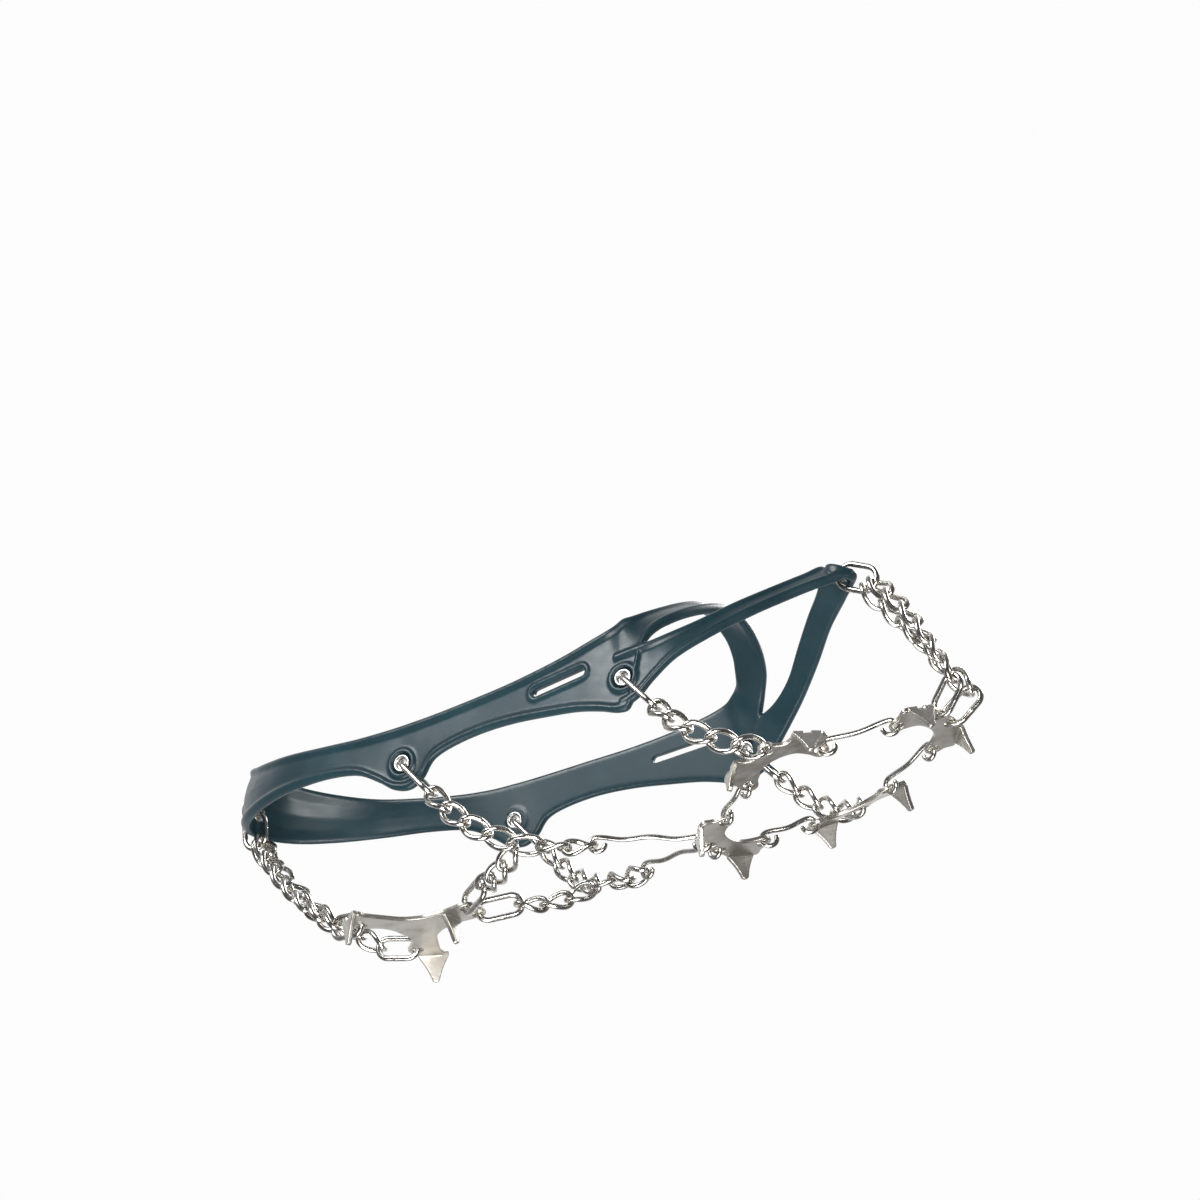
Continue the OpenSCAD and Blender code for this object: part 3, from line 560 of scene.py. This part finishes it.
def long_link(name, p, q, normal, width):
    reach = np.linalg.norm(q - p)
    t = (q - p) / reach
    r = (width - LONG_WIRE) / 2
    path = [vec(r + r * math.cos(a), r * math.sin(a), 0)
            for a in np.linspace(math.pi / 2, 3 * math.pi / 2, 25)]
    path += [vec(x, -r, 0) for x in np.linspace(r, reach - r, 14)[1:-1]]
    path += [vec(reach - r + r * math.cos(a), r * math.sin(a), 0)
             for a in np.linspace(-math.pi / 2, math.pi / 2, 25)]
    path += [vec(x, r, 0) for x in np.linspace(reach - r, r, 14)[1:-1]]
    s = Shape()
    s.tube(path, [vec(0, 0, 1)] * len(path), LONG_WIRE / 2, 18, True, weld(0.42, 0.010, LONG_WELD_RISE))
    data = s.placed(p, t, perp(normal, t)).mesh(name)
    outward(data)
    return piece("look_" + name, name, data, CHAIN_STEEL)


def wavy_wire(name, p, q, normal, waves):
    reach = np.linalg.norm(q - p)
    t = (q - p) / reach
    eye = [vec(EYE_RADIUS + EYE_RADIUS * math.cos(a), EYE_RADIUS * math.sin(a), 0)
           for a in np.radians(np.linspace(368, 90, 40))]
    shares = np.linspace(0, 1, 60)[1:-1]
    waved = [vec(EYE_RADIUS + (reach - 2 * EYE_RADIUS) * s,
                 EYE_RADIUS - WAVE_HEIGHT * (1 - math.cos(2 * math.pi * waves * s)) / 2, 0) for s in shares]
    path = eye + waved + [vec(reach - a[0], a[1], 0) for a in reversed(eye)]
    n = len(path)

    def blunt(share):
        i = min(share * n, n - 1 - share * n)
        return 0.72 + 0.28 * min(1, i / 1.2)

    s = Shape()
    s.tube(path, [vec(0, 0, 1)] * n, WAVY_WIRE / 2, 16, False, blunt)
    data = s.placed(p, t, perp(normal, t)).mesh(name)
    outward(data)
    return piece("look_" + name, name, data, CHAIN_STEEL)


# ---------------------------------------------------------------- outlines


def spline(p0, p1, p2, p3, t):
    return 0.5 * (2 * p1 + (p2 - p0) * t + (2 * p0 - 5 * p1 + 4 * p2 - p3) * t * t
                  + (3 * p1 - p0 - 3 * p2 + p3) * t ** 3)


def smooth_loop(p, k):
    p, n = [np.array(q, float) for q in p], len(p)
    return [spline(p[i - 1], p[i], p[(i + 1) % n], p[(i + 2) % n], j / k) for i in range(n) for j in range(k)]


def smooth_open(p, k):
    p, n = [np.array(q, float) for q in p], len(p)
    return [spline(p[max(i - 1, 0)], p[i], p[i + 1], p[min(i + 2, n - 1)], j / k)
            for i in range(n - 1) for j in range(k)] + [p[-1]]


# ---------------------------------------------------------------- plates
HEEL_HALF = [
    (26.5, 0), (25.8, 5.4), (23, 8), (18.5, 7.6), (13, 6.9), (5.5, 8.2), (-0.5, 12.5), (-4.5, 19.5),
    (-8.2, 27.3), (-9.2, 31.2), (-13.5, 31.2), (-18.6, 26.2), (-18.4, 22.5), (-18, 18.8), (-15.2, 15.8),
    (-11.6, 11.5), (-9.8, 6.5), (-9.4, 0)]
BROW = [(2.7, 0), (2.78, 4.4), (1.7, 8.2)]
EAR = [(3.1, 0), (2.4, 2.2), (0.4, 3.5), (-1.3, 6.6), (-0.7, 9.6)]
ARMS = [
    (1.0, 12.4), (-3.4, 19.2), (-6.8, 21.6), (-10, 19.2), (-13.4, 18.5),
    (-15.8, 16.2), (-15.2, 12.8), (-11.6, 10.6), (-8.4, 7.6), (-7, 4), (-6.6, 0)]
HEEL_TEETH = [((-13.6, 30.6), 127, -8), ((-13.6, -30.6), -127, -8), ((13.4, 0), 0, -4)]
FORE_TEETH = [((-1.9, 16.2), 39, -10), ((-1.9, -16.2), -39, -10)]
PLATE_VOXEL = 0.24
TIP_HALF, TOOTH_HOLLOW = 1.35, 0.45
HOLE_CHAMFER = 0.3


def both_halves(half):
    return half + [(x, -y) for x, y in reversed(half[1:-1])]


def extruded(shape, outline, thickness):
    rings = [[(x, y, -thickness / 2) for x, y in outline], [(x, y, thickness / 2) for x, y in outline]]
    shape.sweep(rings, False)


def tooth(at, turned, lean, width, height):
    """A tongue folded down at the plate's edge, with hollowed sides and a blunt tip."""
    s, half = Shape(), PLATE / 2
    steps = np.linspace(0, 1, 15)
    flank = [(-1.2 - (height - 1.9) * k,
              width / 2 + (TIP_HALF - width / 2) * k - TOOTH_HOLLOW * math.sin(math.pi * k)) for k in steps]
    tip = [(-height + 0.7 * (1 - math.sin(a)), TIP_HALF * math.cos(a) * 0.9)
           for a in np.linspace(0.2, math.pi / 2, 6)]
    right = [(half * 0.4, width / 2)] + flank + tip
    outline = right + [(z, -y) for z, y in reversed(right[:-1])]
    rings = [[(-half, y, z) for z, y in outline], [(half, y, z) for z, y in outline]]
    s.sweep(rings, False)
    c, q = math.cos(math.radians(lean)), math.sin(math.radians(lean))
    ct, st = math.cos(math.radians(turned)), math.sin(math.radians(turned))
    moved = []
    for x, y, z in s.points:
        x, z = x * c + z * q, -x * q + z * c
        moved.append((at[0] + x * ct - y * st, at[1] + x * st + y * ct, z))
    s.points = moved
    return s


def lathe_cutter(points, radius, flare):
    """Round cutters through a plate, wider at both faces for a small chamfer."""
    s, half = Shape(), PLATE / 2
    profile = [(-half - 2, radius + flare), (-half - 0.02, radius + flare), (-half + flare, radius),
               (half - flare, radius), (half + 0.02, radius + flare), (half + 2, radius + flare)]
    for x, y in points:
        rings = [[(x + r * math.cos(a), y + r * math.sin(a), z)
                  for a in np.linspace(0, 2 * math.pi, 41)[:-1]] for z, r in profile]
        s.sweep(rings, False)
    return s


def dimple(data, teeth):
    """Presses a small rectangular stiffening dent into the outside of each bend."""
    n = len(data.vertices)
    co = np.zeros(n * 3)
    data.vertices.foreach_get("co", co)
    co = co.reshape(-1, 3) / MM
    for at, turned, _lean in teeth:
        a = math.radians(turned)
        out, across = vec(math.cos(a), math.sin(a), 0), vec(-math.sin(a), math.cos(a), 0)
        rel = co - vec(at[0], at[1], 0)
        u, w, z = rel @ out, rel @ across, rel[:, 2]
        side = np.clip((1.5 - np.abs(w)) / 0.35, 0, 1)
        corner = np.clip(1 - np.hypot(u - 0.9, z - 0.9) / 2.1, 0, 1)
        press = side * side * (3 - 2 * side) * np.clip(corner * 2.2, 0, 1) * 0.75
        co -= press[:, None] * (out + vec(0, 0, 1)) / math.sqrt(2)
    data.vertices.foreach_set("co", (co * MM).ravel())
    data.update()


def plate(node_name, half, teeth, width, height, holes, place):
    s = Shape()
    outline = [tuple(p) for p in smooth_loop(both_halves(half), 6)]
    extruded(s, outline, PLATE)
    for at, turned, lean in teeth:
        t = tooth(at, turned, lean, width, height)
        s.add(t.points, t.faces)
    o = new_object("blank_" + node_name, s.mesh(node_name))
    outward(o.data)
    o.modifiers.new("union", "REMESH").mode = "VOXEL"
    o.modifiers[0].voxel_size = PLATE_VOXEL * MM
    soften = o.modifiers.new("edges", "SMOOTH")
    soften.factor, soften.iterations = 0.5, 5
    baked(o)
    dimple(o.data, teeth)
    cut = new_object("holes_" + node_name, lathe_cutter(holes, HOLE, HOLE_CHAMFER).mesh("holes"))
    outward(cut.data)
    b = o.modifiers.new("holes", "BOOLEAN")
    b.operation, b.object, b.solver = "DIFFERENCE", cut, "EXACT"
    baked(o)
    bpy.data.objects.remove(cut)
    data = o.data
    data.transform(place)
    bpy.data.objects.remove(o)
    return piece("look_" + node_name, node_name, data, PLATE_STEEL)


def placement(point):
    """Matrix from a plate's own frame in metres to the row frame, from its point function in mm."""
    o = point(vec(0, 0, 0))
    x, y, z = (point(v) - o for v in (vec(1, 0, 0), vec(0, 1, 0), vec(0, 0, 1)))
    m = Matrix.Identity(4)
    for i in range(3):
        m[i][0], m[i][1], m[i][2], m[i][3] = x[i], y[i], z[i], o[i] * MM
    return m


def build_plates():
    sides = [(s, y) for y in (1, -1) for s in [HEEL_REAR_HOLE, HEEL_FRONT_HOLE]]
    plate("plate_heel", HEEL_HALF, HEEL_TEETH, HEEL_TOOTH_WIDTH, HEEL_TOOTH,
          [(h[0], y * h[1]) for h, y in sides], placement(lambda p: HEEL_PLATE_AT + p))
    arms = [(ARM_HOLE[0], y * ARM_HOLE[1]) for y in (1, -1)]
    plate("plate_instep", BROW + ARMS, FORE_TEETH, FORE_TOOTH_WIDTH, FORE_TOOTH,
          arms + [(0, INSTEP_APEX), (0, -INSTEP_APEX)], placement(instep_point))
    plate("plate_toe", BROW + ARMS, FORE_TEETH, FORE_TOOTH_WIDTH, FORE_TOOTH,
          arms + [(0, TOE_APEX), (0, -TOE_APEX)], placement(toe_point))
    for s, name in SIDES:
        plate("plate_side_" + name, EAR + ARMS, FORE_TEETH, FORE_TOOTH_WIDTH, FORE_TOOTH,
              arms + [(0, 0)], placement(lambda p: mirror_y(side_point(vec(p[0], p[1] * s, p[2])), s)))


# ---------------------------------------------------------------- harness
# Lower edge, upper edge and outward bow of each station, left half
BAND_STATIONS = [
    (3.5, 0, 58.3, 11.5, 0, 83.5, 2.5), (6, 9, 58, 14, 9, 82, 2.3),
    (13.5, 18.5, 57.2, 20.5, 16.5, 78.5, 1.8), (26, 27.5, 56.5, 31, 25, 74.8, 1.2),
    (42, 34.5, 55.5, 44, 32.5, 71.3, 0.8), (61, 39, 53.5, 62, 37, 67.6, 0.4),
    (77, 41, 49.8, 77, 39.5, 65, 0.2), (87, 42, 43.5, 87, 40.8, 63.8, 0),
    (93.5, 42.3, 38.3, 93, 41.3, 63.3, 0), (100.5, 42.5, 36.3, 99.5, 41.6, 63, 0),
    (106.5, 42.7, 39, 106, 42, 62.8, 0), (112, 43, 44.6, 112, 42.2, 62.7, 0),
    (121, 43.5, 47, 121, 42.7, 62.7, 0), (135, 44.5, 47.8, 135, 43.6, 62.9, 0),
    (150, 46, 46.6, 150, 45, 63.2, 0), (165, 47.5, 44, 165, 46.4, 64.2, 0),
    (178, 48.8, 41.3, 177, 47.3, 65.6, 0), (188, 49.8, 38, 187, 48, 67.3, 0),
    (196, 50.3, 34.8, 194, 47.6, 69, 0), (201, 50.2, 36, 198, 46, 71, 0),
    (205, 49.2, 48, 200.5, 44.6, 72.8, 0), (207.5, 47.4, 57.5, 202.5, 42, 73.6, 0.3),
    (212, 44, 64.5, 205, 36.5, 75.4, 0.6), (218, 36, 70, 208.5, 28.5, 78.4, 0.8),
    (222.5, 24.5, 75, 211, 19.5, 82, 0.8), (225.2, 12, 78.8, 211.8, 9.5, 85.4, 0.8),
    (226, 0, 80.4, 212, 0, 87, 0.8),
]
STRAP_STATIONS = [
    (197.5, 50.2, 36.2, 196.5, 48.2, 58.6, 0), (204.5, 50.1, 38.2, 203.8, 47.8, 59.2, 0),
    (211, 48.6, 43.8, 211, 46.4, 60, 0), (219.5, 45.7, 50.5, 218.5, 42.8, 62.2, 0.2),
    (230, 39.5, 56.8, 227.2, 36.2, 66, 0.4), (243, 29.5, 64.4, 237, 26.3, 72, 0.5),
    (255, 18.5, 71.2, 247.8, 15.6, 78, 0.5), (267.5, 9, 76.6, 257, 7, 82.6, 0.4),
    (276.6, 0, 79.9, 261.8, 0, 86.2, 0.2)]
SEATS = [
    ("heel", HEEL_EYE, HEEL_OUT), ("rear_left", REAR_EYE, REAR_OUT),
    ("rear_right", mirror_y(REAR_EYE, RIGHT), mirror_y(REAR_OUT, RIGHT)), ("fore_left", FORE_EYE, FORE_OUT),
    ("fore_right", mirror_y(FORE_EYE, RIGHT), mirror_y(FORE_OUT, RIGHT)), ("toe", TOE_EYE, TOE_OUT)]
SLOT_AT, SLOT_TILT, SLOT_YAW = vec(172, 47.1, 55.6), -2.5, 5
HARNESS_VOXEL = 0.42
HARNESS_NODES = ["harness_band", "harness_strap"]


def station_flip(s):
    return (s[0], -s[1], s[2], s[3], -s[4], s[5], s[6])


def band_face(width):
    """Section of the band: u from the lower edge to the upper one, height above the mid surface."""
    half, bead, top = BAND / 2, 2.0, BEAD + 0.25
    rise = [(bead - bead * math.cos(a), top * math.sin(a) ** 0.8)
            for a in np.linspace(0, math.pi * 0.5, 8)]
    fall = [(bead + 2.0 * k, half + (top - half) * (0.5 + 0.5 * math.cos(math.pi * k)) - 0.25 * k)
            for k in np.linspace(0, 1, 7)[1:]]
    left = rise + fall
    middle = [(bead + 2 + (width - 2 * bead - 4) * k, half - 0.25) for k in np.linspace(0, 1, 5)[1:-1]]
    outer = left + middle + [(width - u, n) for u, n in reversed(left)]
    inner = [(width - 0.7, -half * 0.86), (width - 1.8, -half)]
    inner += [(width * k, -half) for k in (0.75, 0.5, 0.25)] + [(1.8, -half), (0.7, -half * 0.86)]
    return outer + inner


def band_ring(s, t):
    low, high = vec(*s[:3]), vec(*s[3:6])
    width = np.linalg.norm(high - low)
    u = (high - low) / width
    n = unit(np.cross(u, t))
    return [low + u * a + n * (h + 4 * s[6] * (a / width) * (1 - a / width)) for a, h in band_face(width)]


def swept_band(shape, stations, closed):
    n = len(stations)
    mids = [(vec(*s[:3]) + vec(*s[3:6])) / 2 for s in stations]
    rings = []
    for i in range(n):
        a = mids[(i - 1) % n] if closed else mids[max(i - 1, 0)]
        b = mids[(i + 1) % n] if closed else mids[min(i + 1, n - 1)]
        rings.append(band_ring(stations[i], unit(b - a)))
    shape.sweep(rings, closed)


def seat_axes(direction):
    x = perp([1, 0.02, 0], direction) if abs(direction[0]) < 0.9 else perp([0, 0, 1], direction)
    return x, np.cross(direction, x)


def ring_shape(shape, centre, direction, profile, segments=64):
    """Lathe of (radius, height) points round a seat's axis."""
    x, y = seat_axes(direction)
    rings = [[centre + (x * math.cos(a) + y * math.sin(a)) * r + direction * h for r, h in profile]
             for a in np.linspace(0, 2 * math.pi, segments + 1)[:-1]]
    shape.sweep(rings, True)


def slot_axes(side):
    a, b = math.radians(SLOT_TILT), math.radians(side * SLOT_YAW)
    x = vec(math.cos(a) * math.cos(b), math.cos(a) * math.sin(b), -math.sin(a))
    y = vec(-math.sin(b), math.cos(b), 0)
    return x, y * side, unit(np.cross(x, y))


def slot_loop(side, half_width, points=14):
    x, _y, z = slot_axes(side)
    centre = mirror_y(SLOT_AT, side)
    loop = []
    for end, a0 in ((1, -90), (-1, 90)):
        for a in np.radians(np.linspace(a0, a0 + 180, points)):
            along_slot = end * SLOT_LENGTH / 2 + half_width * math.cos(a)
            loop.append(centre + x * along_slot + z * half_width * math.sin(a))
    return loop


def seat_rings(at, out, profile, segments):
    """Circles round a seat's axis, one for each (radius, height) of the profile."""
    x, y = seat_axes(out)
    return [[at + (x * math.cos(a) + y * math.sin(a)) * r + out * h
             for a in np.linspace(0, 2 * math.pi, segments + 1)[:-1]] for r, h in profile]


def harness_body():
    s = Shape()
    loop = BAND_STATIONS + [station_flip(q) for q in reversed(BAND_STATIONS[1:-1])]
    swept_band(s, smooth_loop(loop, 9), True)
    strap = STRAP_STATIONS + [station_flip(q) for q in reversed(STRAP_STATIONS[:-1])]
    swept_band(s, smooth_open(strap, 10), False)
    seat = [(RING_RADIUS - 0.6, -SEAT_HALF), (RING_RADIUS, -SEAT_HALF + 0.6)]
    seat += [(RING_RADIUS - 1.2 + 1.2 * math.cos(a), 1.25 + 1.3 * math.sin(a))
             for a in np.linspace(0, math.pi, 12)]
    seat.append((RING_RADIUS - 2.9, 1.1))
    for _name, at, out in SEATS:
        s.sweep(seat_rings(at, out, seat, 64), False)
    for side in (RIGHT, LEFT):
        _x, out, _z = slot_axes(side)
        rim = [p + out * 1.5 for p in slot_loop(side, SLOT_WIDTH / 2 + 1.25)]
        s.tube(rim, [out] * len(rim), 0.95, 12, True)
    return s


def harness_cutters():
    s, room = Shape(), EYELET_FLANGE + 0.9
    profile = [(room, -SEAT_HALF - 5), (room, -SEAT_HALF), (EYELET_BARREL, -SEAT_HALF),
               (EYELET_BARREL, SEAT_HALF - 0.55), (room, SEAT_HALF - 0.55), (room, SEAT_HALF + 5)]
    for _name, at, out in SEATS:
        s.sweep(seat_rings(at, out, profile, 48), False)
    for side in (RIGHT, LEFT):
        _x, out, _z = slot_axes(side)
        loop = slot_loop(side, SLOT_WIDTH / 2)
        s.sweep([[p - out * 7 for p in loop], [p + out * 7 for p in loop]], False)
    return s


def build_harness():
    o = new_object("harness_rough", harness_body().mesh("harness"))
    outward(o.data)
    o.modifiers.new("union", "REMESH").mode = "VOXEL"
    o.modifiers[0].voxel_size = HARNESS_VOXEL * MM
    soften = o.modifiers.new("soften", "SMOOTH")
    soften.factor, soften.iterations = 0.5, 10
    baked(o)
    cut = new_object("harness_cut", harness_cutters().mesh("cut"))
    outward(cut.data)
    b = o.modifiers.new("cut", "BOOLEAN")
    b.operation, b.object, b.solver = "DIFFERENCE", cut, "EXACT"
    baked(o)
    bpy.data.objects.remove(cut)
    data = o.data
    bpy.data.objects.remove(o)
    return piece("look_harness", HARNESS_NODES, data, ELASTOMER)


def build_eyelets():
    top = SEAT_HALF
    for name, at, out in SEATS:
        half = [(EYELET_BORE, 0), (EYELET_BORE, top - 0.5), (EYELET_BORE + 0.18, top + 0.05),
                (EYELET_BORE + 0.45, top + 0.38), (EYELET_BORE + 0.85, top + FLANGE - 0.02),
                (EYELET_FLANGE - 0.25, top + FLANGE - 0.06), (EYELET_FLANGE - 0.02, top + 0.25),
                (EYELET_FLANGE - 0.1, top + 0.02), (EYELET_BARREL, top)]
        profile = half + [(r, -h) for r, h in reversed(half[1:])]
        s = Shape()
        ring_shape(s, at, out, profile)
        data = s.mesh("eyelet_" + name)
        outward(data)
        piece("look_eyelet_" + name, "eyelet_" + name, data, EYELET_STEEL)


# ---------------------------------------------------------------- the object
RUNS, LONGS, WIRES, SPARE = routes()
for key, run in RUNS.items():
    chain(key, run, SPARE.get(key))
for key, ends in LONGS.items():
    long_link(key, *ends)
for key, ends in WIRES.items():
    wavy_wire(key, *ends)
build_plates()
build_harness()
build_eyelets()

# ---------------------------------------------------------------- stage, light and camera
SPIKE_LEVEL = -0.0158
VIEW_TARGET = Vector((0.1698, 0, 0.1062))
VIEW_RIGHT = Vector((0.861, 0.490, -0.131)).normalized()
VIEW_BACK = Vector((0.403, -0.818, -0.407)).normalized()
VIEW_DISTANCE = 1.6
IMAGE_SIZE, IMAGE_SCALE = 1200, 2.59  # pixels across, and pixels to a millimetre at the object
FRAME_WIDTH = IMAGE_SIZE / IMAGE_SCALE * MM
FLOOR_BACK, FLOOR_FRONT, FLOOR_SIDE = -3, 3.4, 3


def build_floor():
    """A pale floor that shows from above and lets a camera below it see the object."""
    data = bpy.data.meshes.new("floor")
    corners = [(FLOOR_BACK, -FLOOR_SIDE), (FLOOR_FRONT, -FLOOR_SIDE),
               (FLOOR_FRONT, FLOOR_SIDE), (FLOOR_BACK, FLOOR_SIDE)]
    data.from_pydata([(x, y, SPIKE_LEVEL) for x, y in corners], [], [(0, 1, 2, 3)])
    m, t, s = new_material("floor_pale")
    t.links.new(ramp(t, noise(t, coords(t), 4, 3), [(0.3, (0.85, 0.85, 0.845)), (0.7, (0.88, 0.88, 0.875))]),
                s.inputs["Base Color"])
    s.inputs["Roughness"].default_value = 0.8
    clear = t.nodes.new("ShaderNodeBsdfTransparent")
    geometry = t.nodes.new("ShaderNodeNewGeometry")
    mix = t.nodes.new("ShaderNodeMixShader")
    out = next(n for n in t.nodes if n.type == "OUTPUT_MATERIAL")
    t.links.new(geometry.outputs["Backfacing"], mix.inputs[0])
    t.links.new(s.outputs[0], mix.inputs[1])
    t.links.new(clear.outputs[0], mix.inputs[2])
    t.links.new(mix.outputs[0], out.inputs[0])
    floor = new_object("floor", data, m)
    floor.visible_shadow = False
    floor.visible_glossy = False


def build_world():
    """Pale beyond the object, dimmer to the other sides, so that the steel has something to reflect."""
    world = bpy.data.worlds.new("studio")
    bpy.context.scene.world = world
    world.use_nodes = True
    t = world.node_tree
    t.nodes.clear()
    out, background = t.nodes.new("ShaderNodeOutputWorld"), t.nodes.new("ShaderNodeBackground")
    c = t.nodes.new("ShaderNodeTexCoord")
    dot = t.nodes.new("ShaderNodeVectorMath")
    dot.operation = "DOT_PRODUCT"
    dot.inputs[1].default_value = -VIEW_BACK
    t.links.new(c.outputs["Generated"], dot.inputs[0])
    colour = ramp(t, spread(t, dot.outputs["Value"], 0, 1, -1, 1),
                  [(0.0, (0.05, 0.05, 0.055)), (0.45, (0.12, 0.12, 0.125)), (0.74, (0.40, 0.40, 0.41)),
                   (0.93, (0.98, 0.98, 0.98))])
    t.links.new(colour, background.inputs["Color"])
    background.inputs["Strength"].default_value = 1.0
    t.links.new(background.outputs[0], out.inputs[0])


def area_light(name, at, aim, size, watts, tint=(1, 1, 1)):
    data = bpy.data.lights.new(name, "AREA")
    data.shape = "RECTANGLE"
    data.size, data.size_y = size
    data.energy, data.color = watts, tint
    o = bpy.data.objects.new(name, data)
    bpy.context.scene.collection.objects.link(o)
    o.location = at
    o.rotation_mode = "QUATERNION"
    o.rotation_quaternion = (Vector(aim) - Vector(at)).to_track_quat("-Z", "Y")


def build_camera():
    data = bpy.data.cameras.new("camera")
    data.sensor_width = 36
    data.lens = 36 * VIEW_DISTANCE / FRAME_WIDTH
    o = bpy.data.objects.new("camera", data)
    bpy.context.scene.collection.objects.link(o)
    up_axis = VIEW_BACK.cross(VIEW_RIGHT).normalized()
    right = up_axis.cross(VIEW_BACK).normalized()
    m = Matrix.Identity(4)
    for i in range(3):
        m[i][0], m[i][1], m[i][2] = right[i], up_axis[i], VIEW_BACK[i]
        m[i][3] = VIEW_TARGET[i] + VIEW_BACK[i] * VIEW_DISTANCE
    o.matrix_world = m
    bpy.context.scene.camera = o


build_floor()
build_world()
MIDDLE = (0.16, 0, 0.03)
area_light("key", (-0.15, -0.95, 0.75), MIDDLE, (0.7, 0.5), 12)
area_light("front_low", (0.75, -0.85, -0.35), MIDDLE, (0.6, 0.35), 8, (1, 0.98, 0.95))
area_light("rim", (0.5, 0.9, 0.7), MIDDLE, (0.9, 0.4), 11)
area_light("under", (0.1, -0.35, -0.75), MIDDLE, (0.7, 0.5), 6)
build_camera()
bpy.context.scene.view_settings.view_transform = "Standard"
